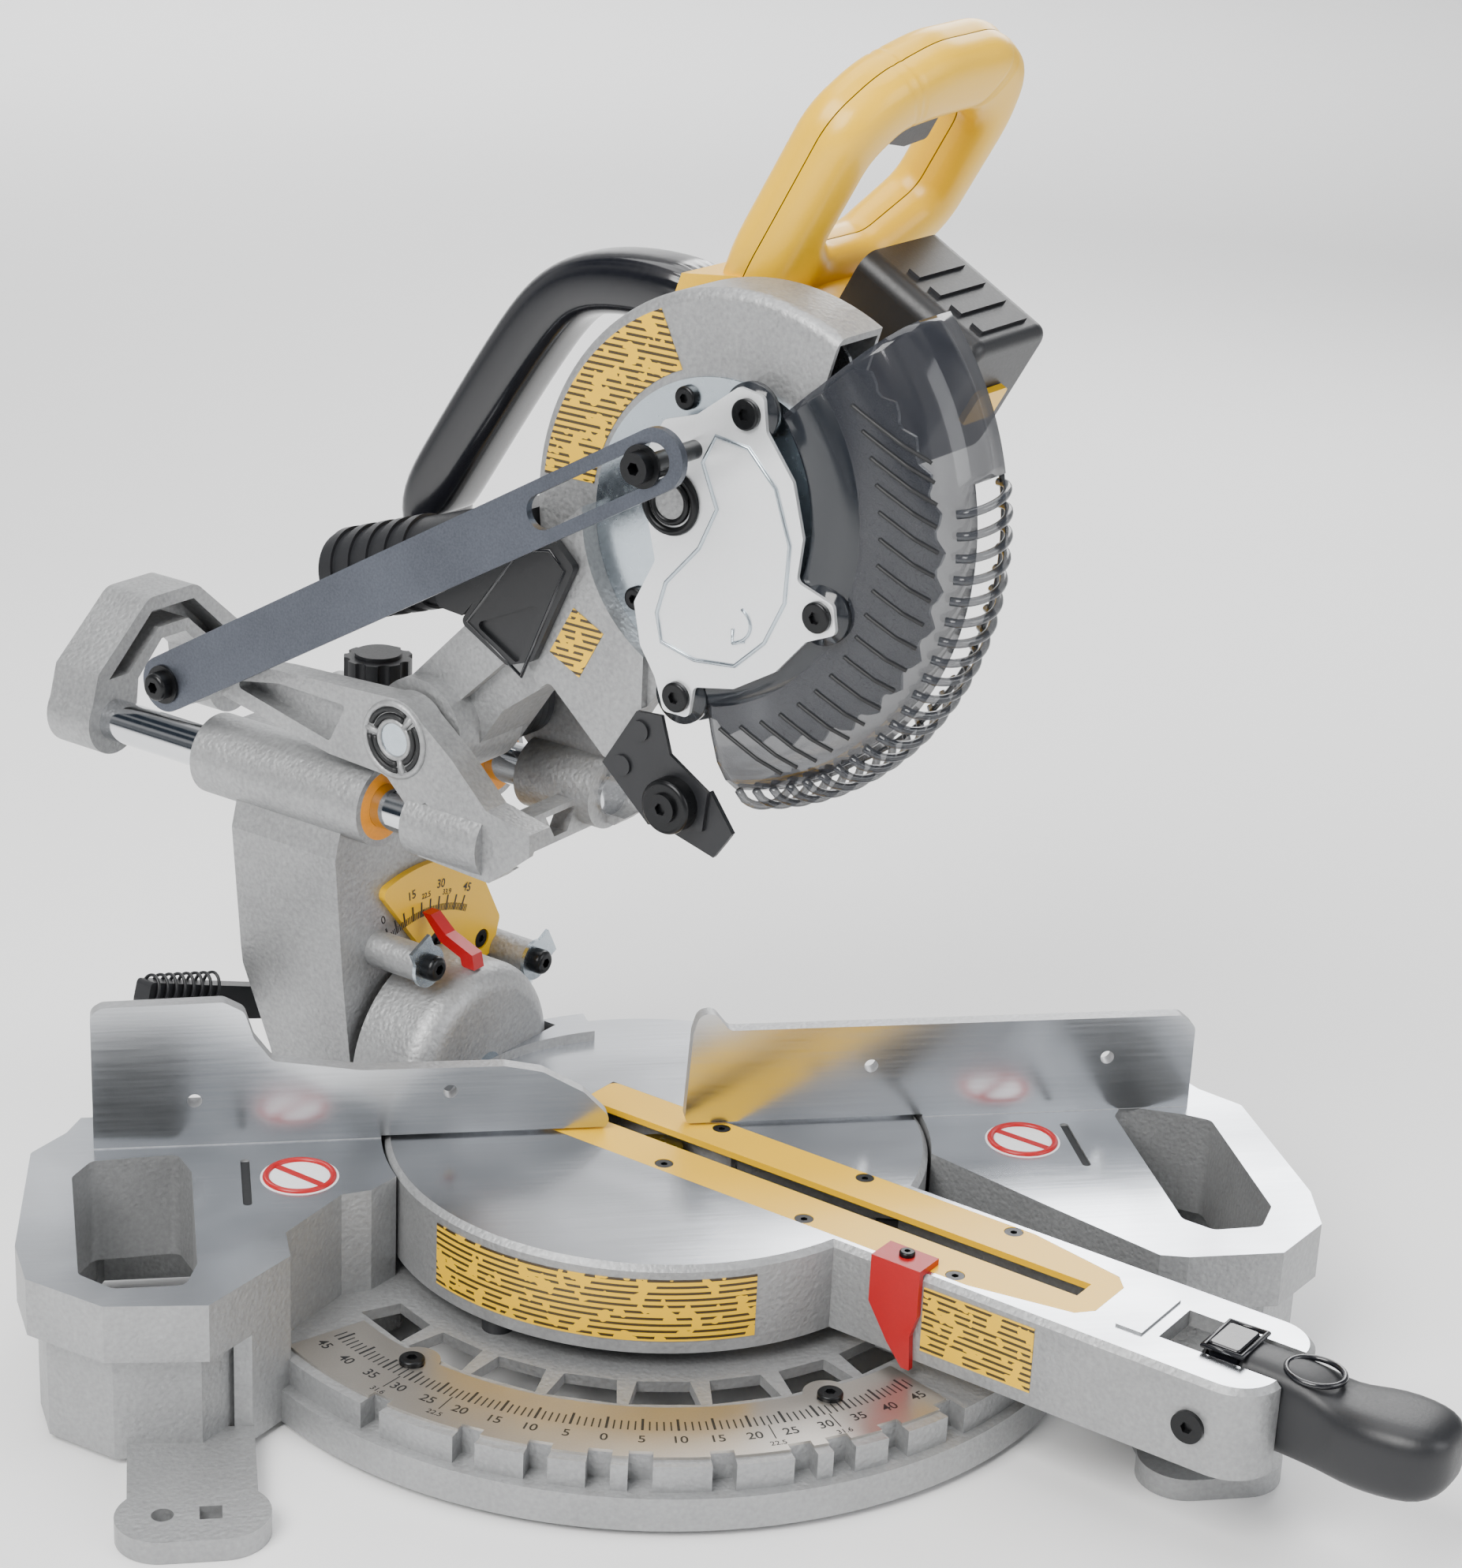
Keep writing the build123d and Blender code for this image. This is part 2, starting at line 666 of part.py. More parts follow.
def bevel_stop_bolt():
    """Zinc stop bolt with its nut, standing in the bevel support."""
    with BuildPart() as bolt:
        with BuildSketch(level(95)):
            with Locations(stop_bolt):
                RegularPolygon(6.5, 6)
        extrude(amount=6)
        with BuildSketch(level(70)):
            with Locations(stop_bolt):
                Circle(3.5)
        extrude(amount=28)
        with BuildSketch(level(74)):
            with Locations(stop_bolt):
                RegularPolygon(6.5, 6)
            with Locations((stop_bolt[0], (stop_bolt[1] + support_radius) / 2)):
                Rectangle(14, stop_bolt[1] - support_radius)
        extrude(amount=6)
    return bolt.part


trunk_rear = -205.0


def lever_pin():
    with BuildPart() as pin:
        with BuildSketch(side(-arm_half)):
            with Locations((lever_u, lever_z)):
                Circle(pin_radius)
        extrude(amount=2 * arm_half)
        with BuildSketch(side(arm_half)):
            with Locations((lever_u, lever_z)):
                Circle(pin_radius + 3)
        extrude(amount=2)
        with BuildSketch(side(arm_half + 2)):
            with Locations((lever_u, lever_z)):
                RegularPolygon(2.6, 6)
        extrude(amount=-2, mode=Mode.SUBTRACT)
    return pin.part


save("turntable", turntable())
save("kerf_plate", kerf_plate())
save("table_screws", table_screws())
save("miter_cursor", miter_cursor())
save("table_labels", table_labels())
save("bevel_support", bevel_support())
save("bevel_pointer", bevel_pointer())
save("bevel_pivot_pin", bevel_pivot_pin())
save("bevel_stop_bolt", bevel_stop_bolt())
save("lever_pivot_screw", lever_pin())

# ---- miter lock ----------------------------------------------------------------------------
lever_end = arm_reach + 85.0
lever_top = 82.0


def miter_lock_lever():
    """Black lever at the nose: a hinged root with a scooped cup and a broad paddle."""
    with BuildPart() as lever:
        with BuildSketch(side(-lever_half)):
            Polygon((lever_slot_rear + 14, 50), (lever_slot_rear + 18, lever_top),
                    (arm_reach + 14, lever_top), (arm_reach + 22, 50),
                    (arm_reach - 12, 42), align=None)
        extrude(amount=2 * lever_half)
        fillet(lever.edges().filter_by(Axis.Y), 3)
        with BuildSketch(level(lever_top - 25)):
            with Locations(((arm_reach + lever_end) / 2 + 8, 0)):
                SlotOverall(lever_end - arm_reach - 16, 44)
            with Locations((arm_reach + 14, 0)):
                Rectangle(36, 1.7 * lever_half)
        extrude(amount=25)
        fillet(lever.faces().sort_by(Axis.X)[-1].edges().filter_by(GeomType.CIRCLE), 3)
        # finger scoop in front of the detent button
        with BuildSketch(level(lever_top)):
            with Locations((arm_reach - 2, 0)):
                Ellipse(14, 9)
        extrude(amount=-12, mode=Mode.SUBTRACT)
        with BuildSketch(side(-lever_half)):
            with Locations((lever_u, lever_z)):
                Circle(pin_radius + running)
        extrude(amount=2 * lever_half, mode=Mode.SUBTRACT)
        # well of the detent button
        with BuildSketch(level(lever_top)):
            with Locations((lever_slot_rear + 27, 0)):
                Rectangle(button_long + 2 * apart, button_wide + 2 * apart)
        extrude(amount=-9, mode=Mode.SUBTRACT)
    return lever.part


button_long = 14.0
button_wide = 20.0


def detent_button():
    with BuildPart() as button:
        with BuildSketch(level(lever_top - 5)):
            with Locations((lever_slot_rear + 27, 0)):
                RectangleRounded(button_long, button_wide, 2)
        extrude(amount=6)
        fillet(button.faces().sort_by(Axis.Z)[-1].edges(), 1)
    return button.part


def detent_plunger():
    """Spring plunger that drops into the ring's notches, held back clear of the ring."""
    with BuildPart() as plunger:
        with BuildSketch(across(ring_radius + ring_ledge + 1)):
            with Locations((0, table_bottom + 8)):
                Circle(plunger_radius)
        extrude(amount=50)
        with BuildSketch(level(plunger_z)):
            with Locations((ring_radius + ring_ledge + 5, 0)):
                Rectangle(8, notch_width - 1)
        extrude(amount=table_bottom + 8 - plunger_z)
    return plunger.part


save("miter_lock_lever", miter_lock_lever())
save("detent_button", detent_button())
save("detent_plunger", detent_plunger())

# ---- bevel trunk and slide housing ---------------------------------------------------------
housing_radius = 19.0
bush_wall = 2.5
bush_length = 18.0
wiper_radius = 16.0
trunk_front = -142.0
trunk_foot = 46.0
stop_posts = ((-28.6, 138.0, -112.0), (57.8, 110.1, -118.0))  # right, height, front end
stop_radius = 8.5
fan_outer = 92.0
fan_thickness = 3.6
bracket_thickness = 1.8
fan_screws = [(9.5, 129.5), (43.5, 119.5)]
knob_u = -184.0
knob_right = 20.0
knob_bottom = 247.0
knob_radius = 16.0
bevel_lever_u = trunk_rear - 3


def rail_housing():
    """Trunk that tilts on the bevel pivot and holds both slide rails."""
    with BuildPart() as housing:
        with BuildSketch(across(housing_rear)):
            with Locations((-rail_spread, rail_height), (rail_spread, rail_height)):
                Circle(housing_radius)
            with Locations((0, rail_height)):
                Rectangle(2 * rail_spread, 26)
        extrude(amount=housing_front - housing_rear)
        with BuildSketch(across(trunk_rear)):
            Polygon((-46, table_top), (-52, 130), (-57, 190), (-50, rail_height),
                    (50, rail_height), (52, 185), (46, 130), (44, table_top), align=None)
            with Locations((0, table_top)):
                Circle(trunk_foot)
        extrude(amount=trunk_front - trunk_rear)
        with BuildSketch(side(-60)):
            Polygon((trunk_rear, table_top - 60), (trunk_rear, 120), (trunk_rear + 30, table_top - 60),
                    align=None)
        extrude(amount=120, mode=Mode.SUBTRACT)
        # stop posts reaching forward on either side of the scale
        for right, height, front in stop_posts:
            with BuildSketch(across(trunk_front - 24)):
                with Locations((right, height)):
                    Circle(stop_radius)
            extrude(amount=front - trunk_front + 24)
        with BuildSketch(across(trunk_front)):
            with Locations((stop_posts[1][0] / 2, stop_posts[1][1])):
                Rectangle(stop_posts[1][0], 2 * stop_radius)
        extrude(amount=-24)
        with BuildSketch(level(rail_height)):
            with Locations((knob_u, knob_right)):
                Circle(11)
        extrude(amount=knob_bottom - 1 - rail_height)
        with BuildSketch(across(housing_rear)):
            with Locations((-rail_spread, rail_height), (rail_spread, rail_height)):
                Circle(rail_radius + apart)
        extrude(amount=housing_front - housing_rear, mode=Mode.SUBTRACT)
        for start, length in ((housing_rear, bush_length), (housing_front, -bush_length)):
            with BuildSketch(across(start)):
                with Locations((-rail_spread, rail_height), (rail_spread, rail_height)):
                    Circle(rail_radius + running + bush_wall)
            extrude(amount=length, mode=Mode.SUBTRACT)
        with BuildSketch(across(housing_front)):
            with Locations((-rail_spread, rail_height), (rail_spread, rail_height)):
                Circle(wiper_radius)
        extrude(amount=-3, mode=Mode.SUBTRACT)
        with BuildSketch(across(trunk_rear)):
            with Locations((0, table_top)):
                Circle(bevel_pin_radius + running)
        extrude(amount=trunk_front - trunk_rear, mode=Mode.SUBTRACT)
        with BuildSketch(level(rail_height)):
            with Locations((knob_u, knob_right)):
                Circle(4 + running)
        extrude(amount=40, mode=Mode.SUBTRACT)
    return housing.part


def rail_bushings():
    with BuildPart() as bushings:
        for start, length in ((housing_rear, bush_length), (housing_front - 3, -bush_length + 3)):
            with BuildSketch(across(start)):
                with Locations((-rail_spread, rail_height), (rail_spread, rail_height)):
                    Circle(rail_radius + running + bush_wall)
                    Circle(rail_radius + running, mode=Mode.SUBTRACT)
            extrude(amount=length)
    return bushings.part


def rail_wipers():
    """Orange felt-lined rings that keep dust out of the bushings."""
    with BuildPart() as wipers:
        with BuildSketch(across(housing_front)):
            with Locations((-rail_spread, rail_height), (rail_spread, rail_height)):
                Circle(wiper_radius)
                Circle(rail_radius + running, mode=Mode.SUBTRACT)
        extrude(amount=-3)
    return wipers.part


def bevel_scale():
    """Yellow fan-shaped scale bolted to the front of the trunk."""
    with BuildPart() as scale:
        with BuildSketch(across(trunk_front)):
            with Locations((0, table_top)):
                Circle(fan_outer)
            Polygon((2, 126), (-34, 171), (-34, 190), (14, 190), (31, 166), (46, 148), (57, 127),
                    (52, 111), (42, 108), (12, 120), align=None, mode=Mode.INTERSECT)
            fillet(vertices(), 4)
            with Locations(*fan_screws):
                Circle(2.2, mode=Mode.SUBTRACT)
            with Locations(stop_posts[0][:2], stop_posts[1][:2]):
                Circle(stop_radius + seat, mode=Mode.SUBTRACT)
        extrude(amount=fan_thickness)
        with BuildSketch(across(trunk_front + fan_thickness)):
            with Locations(*fan_screws):
                Circle(5)
        extrude(amount=-2, mode=Mode.SUBTRACT)
    return scale.part


def fan_scale_screws():
    return pan_screw(across(trunk_front + fan_thickness - 2), fan_screws, 4.6, 1.6, 2.1, 1.5)


def bevel_stop_brackets():
    """Zinc plates under the stop screws, each with a tab on its outer side."""
    with BuildPart() as brackets:
        for right, height, front in stop_posts:
            outward = math.degrees(math.atan2(height - table_top, right))
            turn = math.radians(outward)
            with BuildSketch(across(front)):
                with Locations((right, height)):
                    Circle(stop_radius + 1.5)
                with Locations(Location((right + 8 * math.cos(turn), height + 8 * math.sin(turn)),
                                        outward)):
                    Rectangle(12, 14)
                with Locations((right, height)):
                    Circle(2.5 + running, mode=Mode.SUBTRACT)
            extrude(amount=bracket_thickness)
    return brackets.part


def bevel_stop_screws():
    with BuildPart() as screws:
        for right, height, front in stop_posts:
            add(pan_screw(across(front + bracket_thickness), [(right, height)], 6.0, 6.0, 2.5,
                          bracket_thickness))
    return screws.part


def bevel_lock_lever():
    """Black clamp lever on a stud at the back of the trunk."""
    with BuildPart() as lever:
        with BuildSketch(across(bevel_lever_u)):
            with Locations((0, table_top)):
                Circle(15)
        extrude(amount=-14)
        with BuildSketch(across(bevel_lever_u - 3)):
            Polygon((0, table_top - 8), (0, table_top + 8), (-70, table_top + 34),
                    (-104, table_top + 47), (-108, table_top + 34), (-74, table_top + 18), align=None)
            fillet(vertices().group_by(Axis.X)[0], 5)
        extrude(amount=-9)
        fillet(lever.edges().group_by(Axis.Z)[-1], 2)
    return lever.part


def rail_lock_knob():
    """Scalloped thumb knob whose stud clamps the rails."""
    with BuildPart() as knob:
        with BuildSketch(level(knob_bottom)):
            with Locations((knob_u, knob_right)):
                Circle(knob_radius)
            with Locations(Location((knob_u, knob_right))):
                with PolarLocations(knob_radius + 1.2, 9):
                    Circle(3.2, mode=Mode.SUBTRACT)
        extrude(amount=11)
        with BuildSketch(level(knob_bottom + 11)):
            with Locations((knob_u, knob_right)):
                Circle(knob_radius - 5)
        extrude(amount=2)
        with BuildSketch(level(knob_bottom)):
            with Locations((knob_u, knob_right)):
                Circle(4)
        extrude(amount=-18)
    return knob.part


save("rail_housing", rail_housing())
save("rail_bushings", rail_bushings())
save("rail_wipers", rail_wipers())
save("bevel_scale", bevel_scale())
save("bevel_scale_screws", fan_scale_screws())
save("bevel_stop_brackets", bevel_stop_brackets())
save("bevel_stop_screws", bevel_stop_screws())
save("bevel_lock_lever", bevel_lock_lever())
save("rail_lock_knob", rail_lock_knob())

# ---- carriage ------------------------------------------------------------------------------
yoke_left = 52.0              # outer face of the left ear
yoke_inner = 38.0             # inner face of both ears
yoke_right = -52.0
clamp_rear = -105.0
clamp_front = -62.0
clamp_radius = 17.0
beam_bottom = 198.0
beam_top = 215.0
boss_radius = 19.0
barrel_radius = 24.0
barrel_left = 36.0
barrel_right = -8.0
head_pin_radius = 8.0
link_pin_radius = 4.0
spring_left = -15.0


def slide_rails():
    with BuildPart() as rails:
        with BuildSketch(across(rail_rear)):
            with Locations((-rail_spread, rail_height), (rail_spread, rail_height)):
                Circle(rail_radius)
        extrude(amount=rail_front - rail_rear)
    return rails.part


def carriage_yoke():
    """Fork that clamps the front of the rails and carries the head pivot."""
    leg = [
        (pivot_u - 22, pivot_z - 2), (pivot_u - 12, pivot_z + 16), (pivot_u + 12, pivot_z + 14),
        (-80, 253), (-60, 234), (-36, 229), (-36, 219), (-58, 201), (-98, 203), (-106, 226),
    ]
    reach = [
        (pivot_u, pivot_z + 19), (-180, 270), (link_rear[0] + 4, link_rear[1] + 12),
        (link_rear[0] - 10, link_rear[1] + 6), (link_rear[0] - 10, link_rear[1] - 8),
        (link_rear[0] + 4, link_rear[1] - 12), (-214, 250), (-150, 238), (pivot_u, 236),
    ]
    with BuildPart() as yoke:
        for face, depth in ((yoke_inner, yoke_left - yoke_inner),
                            (yoke_right, -yoke_inner - yoke_right)):
            with BuildSketch(side(face)):
                Polygon(*leg, align=None)
                with Locations((pivot_u, pivot_z)):
                    Circle(boss_radius)
            extrude(amount=depth)
        with BuildSketch(side(yoke_inner + 2)):
            Polygon(*reach, align=None)
        extrude(amount=yoke_left - yoke_inner - 2)
        # pocket that leaves a rib round the rear arm
        with BuildSketch(side(yoke_left)):
            Polygon((-140, 263), (-180, 264), (-212, 258), (-150, 244), align=None)
            fillet(vertices(), 2)
        extrude(amount=-8, mode=Mode.SUBTRACT)
        # window in the leg
        with BuildSketch(side(yoke_inner)):
            Polygon((-100, 232), (-88, 214), (-80, 222), align=None)
            fillet(vertices(), 2)
        extrude(amount=yoke_left - yoke_inner, mode=Mode.SUBTRACT)
        # beam across the front with its truss windows
        with BuildSketch(level(beam_bottom)):
            with Locations((clamp_front - 13, 0)):
                Rectangle(10, 2 * yoke_inner + 8)
        extrude(amount=beam_top - beam_bottom)
        with BuildSketch(across(clamp_front + 12)):
            for middle in (-14, 14):
                with Locations((middle, (beam_bottom + beam_top) / 2)):
                    Trapezoid(22, beam_top - beam_bottom - 6, 60, rotation=180 if middle > 0 else 0)
        extrude(amount=-40, mode=Mode.SUBTRACT)
        # clamps round the rails, open to the front like hooks
        with BuildSketch(across(clamp_rear)):
            with Locations((-rail_spread, rail_height), (rail_spread, rail_height)):
                Circle(clamp_radius)
        extrude(amount=clamp_front - clamp_rear)
        with BuildSketch(across(clamp_rear - 5)):
            with Locations((-rail_spread, rail_height), (rail_spread, rail_height)):
                Circle(rail_radius)
        extrude(amount=80, mode=Mode.SUBTRACT)
        # air round the head's barrel
        with BuildSketch(side(barrel_right - apart)):
            with Locations((pivot_u, pivot_z)):
                Circle(barrel_radius + apart)
        extrude(amount=barrel_left - barrel_right + 2 * apart, mode=Mode.SUBTRACT)
        for face, depth in ((yoke_inner, yoke_left - yoke_inner),
                            (yoke_right, -yoke_inner - yoke_right)):
            with BuildSketch(side(face)):
                with Locations((pivot_u, pivot_z)):
                    Circle(head_pin_radius)
            extrude(amount=depth, mode=Mode.SUBTRACT)
        with BuildSketch(side(yoke_inner)):
            with Locations(link_rear):
                Circle(link_pin_radius)
        extrude(amount=yoke_left - yoke_inner, mode=Mode.SUBTRACT)
    return yoke.part


def rear_cap():
    """Arched link that ties the rear ends of the rails together."""
    with BuildPart() as cap:
        with BuildSketch(across(rail_rear - 6)):
            with Locations((-rail_spread, rail_height), (rail_spread, rail_height)):
                Circle(clamp_radius)
            Polygon((-57, rail_height), (-50, 240), (-16, 270), (16, 270), (50, 240),
                    (57, rail_height), align=None)
            Polygon((-26, rail_height), (-24, 232), (-8, 248), (8, 248), (24, 232),
                    (26, rail_height), align=None, mode=Mode.SUBTRACT)
        extrude(amount=28)
        fillet(cap.edges().filter_by(Axis.X).group_by(Axis.Z)[-1], 10)
        with BuildSketch(across(rail_rear)):
            with Locations((-rail_spread, rail_height), (rail_spread, rail_height)):
                Circle(rail_radius)
        extrude(amount=40, mode=Mode.SUBTRACT)
        # hollow of the arch, open to the front
        with BuildSketch(across(rail_rear + 22)):
            Polygon((-43, 236), (-14, 263), (14, 263), (43, 236), (30, 236), (10, 254),
                    (-10, 254), (-30, 236), align=None)
        extrude(amount=-18, mode=Mode.SUBTRACT)
    return cap.part


def head_pivot_pin():
    with BuildPart() as pin:
        with BuildSketch(side(yoke_right)):
            with Locations((pivot_u, pivot_z)):
                Circle(head_pin_radius)
        extrude(amount=yoke_left - yoke_right)
    return pin.part


def link_rear_screw():
    with BuildPart() as screw:
        with BuildSketch(side(yoke_inner + 2)):
            with Locations(link_rear):
                Circle(link_pin_radius)
        extrude(amount=link_left + link_thickness - yoke_inner - 2)
        with BuildSketch(side(link_left + link_thickness)):
            with Locations(link_rear):
                Circle(9)
        extrude(amount=1.2)
        with BuildSketch(side(link_left + link_thickness + 1.2)):
            with Locations(link_rear):
                Circle(6.5)
        extrude(amount=6)
        fillet(screw.faces().sort_by(Axis.Y)[0].edges(), 2)
        with BuildSketch(side(link_left + link_thickness + 7.2)):
            with Locations(link_rear):
                RegularPolygon(2.8, 6)
        extrude(amount=-4, mode=Mode.SUBTRACT)
    return screw.part


def return_spring():
    """Torsion spring round the head pivot, drawn as touching turns on a sleeve."""
    wire = 2.0
    pitch = 4.2
    turns = 5
    first = spring_left - wire
    with BuildPart() as spring:
        for turn in range(turns):
            with BuildSketch(side(first - wire - pitch * turn)):
                with Locations((pivot_u, pivot_z)):
                    Circle(20)
                    Circle(15, mode=Mode.SUBTRACT)
            extrude(amount=2 * wire)
        with BuildSketch(side(first - pitch * turns)):
            with Locations((pivot_u, pivot_z)):
                Circle(16)
                Circle(head_pin_radius + apart, mode=Mode.SUBTRACT)
        extrude(amount=pitch * turns)
    return spring.part


def link_bar():
    """Long flat bar that drives the lower guard, slotted at its front end."""
    run = math.hypot(link_front[0] - link_rear[0], link_front[1] - link_rear[1])
    turn = math.degrees(math.atan2(link_front[1] - link_rear[1], link_front[0] - link_rear[0]))
    back = math.radians(turn)
    middle = ((link_front[0] + link_rear[0] + link_nose * math.cos(back)) / 2,
              (link_front[1] + link_rear[1] + link_nose * math.sin(back)) / 2)
    slot_length = slot_ahead + slot_behind
    offset = (slot_behind - slot_ahead) / 2
    slot_middle = (link_front[0] - offset * math.cos(back),
                   link_front[1] - offset * math.sin(back))
    with BuildPart() as bar:
        with BuildSketch(side(link_left)):
            with Locations(Location(middle, turn)):
                SlotOverall(run + link_nose + 2 * link_half_width, 2 * link_half_width)
            with Locations(Location(slot_middle, turn)):
                SlotOverall(slot_length, 2 * (link_pin_radius + slot_play), mode=Mode.SUBTRACT)
            with Locations(link_rear):
                Circle(link_pin_radius + running, mode=Mode.SUBTRACT)
        extrude(amount=link_thickness)
    return bar.part


save("slide_rails", slide_rails())
save("carriage_yoke", carriage_yoke())
save("rear_cap", rear_cap())
save("head_pivot_pin", head_pivot_pin())
save("link_rear_screw", link_rear_screw())
save("return_spring", return_spring())
save("link_bar", link_bar())

# ---- head ----------------------------------------------------------------------------------
cavity_left = 15.0
cavity_right = -12.0
cover_radius = 65.0
cover_thickness = 1.5
cover_spots = [(-8, 334), (14, 424)]
post_radius = 9.0
motor_centre = (5.0, 372.0)
motor_radius = 46.0
motor_inner = -24.0           # left face of the motor housing
motor_outer = -104.0
arm_left = 28.0
arm_step = 22.0
hub_left = 27.0
hub_thickness = 2.0
shell_face = 22.5
shell_right = -20.0
grip_base = (6.0, 462.0)      # middle of the D-handle's foot, forward and height
grip_lean = 61.1              # lean of the handle's plane from the horizontal
grip_half_depth = 16.0
grip_left = -24.0
grip_right = -158.0
battery_gap = 0.5
ears = [(50.6, 425.7), (89.1, 349.7), (21.9, 300.0)]


def grip_plane(depth):
    """Plane of the D-handle: local x to the operator's right, y up along its lean."""
    lean = math.radians(grip_lean)
    normal = (math.sin(lean), 0, -math.cos(lean))
    origin = (grip_base[0] + normal[0] * depth, 0, grip_base[1] + normal[2] * depth)
    return Plane(origin=origin, x_dir=(0, 1, 0), z_dir=normal)


def head_casting():
    """Upper guard, arm and pivot barrel in one aluminium casting."""
    arm = [
        (-126, 272), (-117, 281), (-88, 310), (-60, 345), (-30, 372), (20, 372), (34, 330),
        (12, 302), (2, 288), (-14, 262), (-46, 290), (-76, 268), (-98, 236),
    ]
    with BuildPart() as head:
        with BuildSketch(side(upper_right)):
            with Locations((blade_u, blade_z)):
                Circle(upper_radius)
            Polygon((blade_u + 62, blade_z + 140), (-120, blade_z + 140), (-120, blade_z - 70),
                    (-60, blade_z - 72), (blade_u - 20, blade_z - 26), (blade_u + 26, blade_z + 18),
                    align=None, mode=Mode.INTERSECT)
        extrude(amount=upper_left - upper_right)
        fillet(head.edges().filter_by(GeomType.CIRCLE).group_by(Axis.Y)[0], 5)
        with BuildSketch(side(cavity_right)):
            with Locations((blade_u, blade_z)):
                Circle(upper_radius - upper_wall)
        extrude(amount=cavity_left - cavity_right, mode=Mode.SUBTRACT)
        with BuildSketch(side(upper_left - 3)):
            Polygon(*arm, align=None)
            fillet(vertices(), 3)
        extrude(amount=arm_left - upper_left + 3)
        with BuildSketch(side(upper_right)):
            Polygon(*arm[:5], (-40, 330), (-60, 300), *arm[10:], align=None)
        extrude(amount=upper_left - upper_right)
        with BuildSketch(side(barrel_right)):
            with Locations((pivot_u, pivot_z)):
                Circle(barrel_radius)
        extrude(amount=barrel_left - barrel_right)
        # the blade's chamber, the cover's seat and the bores
        with BuildSketch(side(cavity_right)):
            with Locations((blade_u, blade_z)):
                Circle(upper_radius - upper_wall)
        extrude(amount=cavity_left - cavity_right, mode=Mode.SUBTRACT)
        with BuildSketch(side(cavity_left)):
            with Locations((guard_u, guard_z)):
                Circle(post_radius + 5)
        extrude(amount=upper_left - cavity_left)
        with BuildSketch(side(upper_left)):
            with Locations((blade_u - 3, blade_z + 1)):
                Circle(cover_radius + seat)
        extrude(amount=arm_left, mode=Mode.SUBTRACT)
        with BuildSketch(side(upper_left)):
            with Locations((guard_u, guard_z)):
                Circle(post_radius)
        extrude(amount=hub_left + hub_thickness + 1 - upper_left)
        with BuildSketch(side(upper_right)):
            with Locations((pivot_u, pivot_z)):
                Circle(head_pin_radius + running)
        extrude(amount=barrel_left - upper_right, mode=Mode.SUBTRACT)
        # the arm steps in where it passes the rail clamp with the head down
        with BuildSketch(side(arm_step)):
            with Locations((pivot_u, pivot_z)):
                Circle(68)
                Circle(barrel_radius, mode=Mode.SUBTRACT)
            Polygon((pivot_u, pivot_z), (pivot_u + 150, pivot_z + 142), (pivot_u + 150, pivot_z - 100),
                    (pivot_u, pivot_z - 100), align=None, mode=Mode.INTERSECT)
        extrude(amount=barrel_left, mode=Mode.SUBTRACT)
        # room for the lowest ear of the guard's plate
        with BuildSketch(side(shell_face + guard_wall - apart)):
            Polygon((3, 290), (60, 290), (60, 320), (3, 320), align=None)
        extrude(amount=arm_left, mode=Mode.SUBTRACT)
        with BuildSketch(side(upper_right)):
            with Locations((blade_u, blade_z)):
                Circle(spindle_radius + running)
        extrude(amount=-upper_right + cavity_right, mode=Mode.SUBTRACT)
        # gearcase behind the guard
        with BuildSketch(side(motor_inner)):
            with Locations((blade_u, blade_z), motor_centre):
                Circle(34)
            with Locations(Location(((blade_u + motor_centre[0]) / 2, blade_z), 4)):
                Rectangle(abs(blade_u - motor_centre[0]), 66)
        extrude(amount=upper_right - motor_inner)
        with BuildSketch(side(motor_inner)):
            with Locations((blade_u, blade_z)):
                Circle(spindle_radius + running)
        extrude(amount=upper_right - motor_inner, mode=Mode.SUBTRACT)
    return head.part


spindle_radius = 6.0


def guard_cover():
    """Zinc plate that closes the side of the upper guard."""
    with BuildPart() as cover:
        with BuildSketch(side(upper_left)):
            with Locations((blade_u - 3, blade_z + 1)):
                Circle(cover_radius)
            with Locations((guard_u, guard_z)):
                Circle(post_radius + seat, mode=Mode.SUBTRACT)
            with Locations(*cover_spots):
                Circle(2.5 + running, mode=Mode.SUBTRACT)
        extrude(amount=cover_thickness)
    return cover.part


def cover_screws():
    return pan_screw(side(upper_left + cover_thickness), cover_spots, 5.0, 3.0, 2.5, cover_thickness)


def motor_housing():
    """Yellow housing of the motor and the handle's foot, hollow round the motor."""
    with BuildPart() as housing:
        with BuildSketch(side(motor_outer)):
            with Locations(motor_centre):
                Circle(motor_radius)
            Polygon((-38, 385), (-34, 430), (-22, 463), (6, 466), (34, 452), (48, 425),
                    (46, 385), align=None)
        extrude(amount=motor_inner - motor_outer)
        fillet(housing.faces().sort_by(Axis.Y)[-1].edges(), 6)
        with BuildSketch(side(motor_outer + 5)):
            with Locations(motor_centre):
                Circle(motor_radius - 4)
        extrude(amount=motor_inner - motor_outer, mode=Mode.SUBTRACT)
        # air slots in the end
        with BuildSketch(side(motor_outer)):
            with Locations(motor_centre):
                with PolarLocations(26, 10):
                    SlotOverall(20, 5)
        extrude(amount=5, mode=Mode.SUBTRACT)
        # seat of the battery foot
        with BuildSketch(grip_plane(battery_near)):
            with Locations((-(battery_left + battery_right) / 2, (battery_low + battery_high) / 2)):
                Rectangle(battery_left - battery_right + 2 * battery_gap,
                          battery_high - battery_low + 2 * battery_gap)
        extrude(amount=60, mode=Mode.SUBTRACT)
    return housing.part


battery_left = -52.0
battery_right = -112.0
battery_low = -30.0
battery_high = 36.0
battery_near = 30.0
battery_far = 96.0


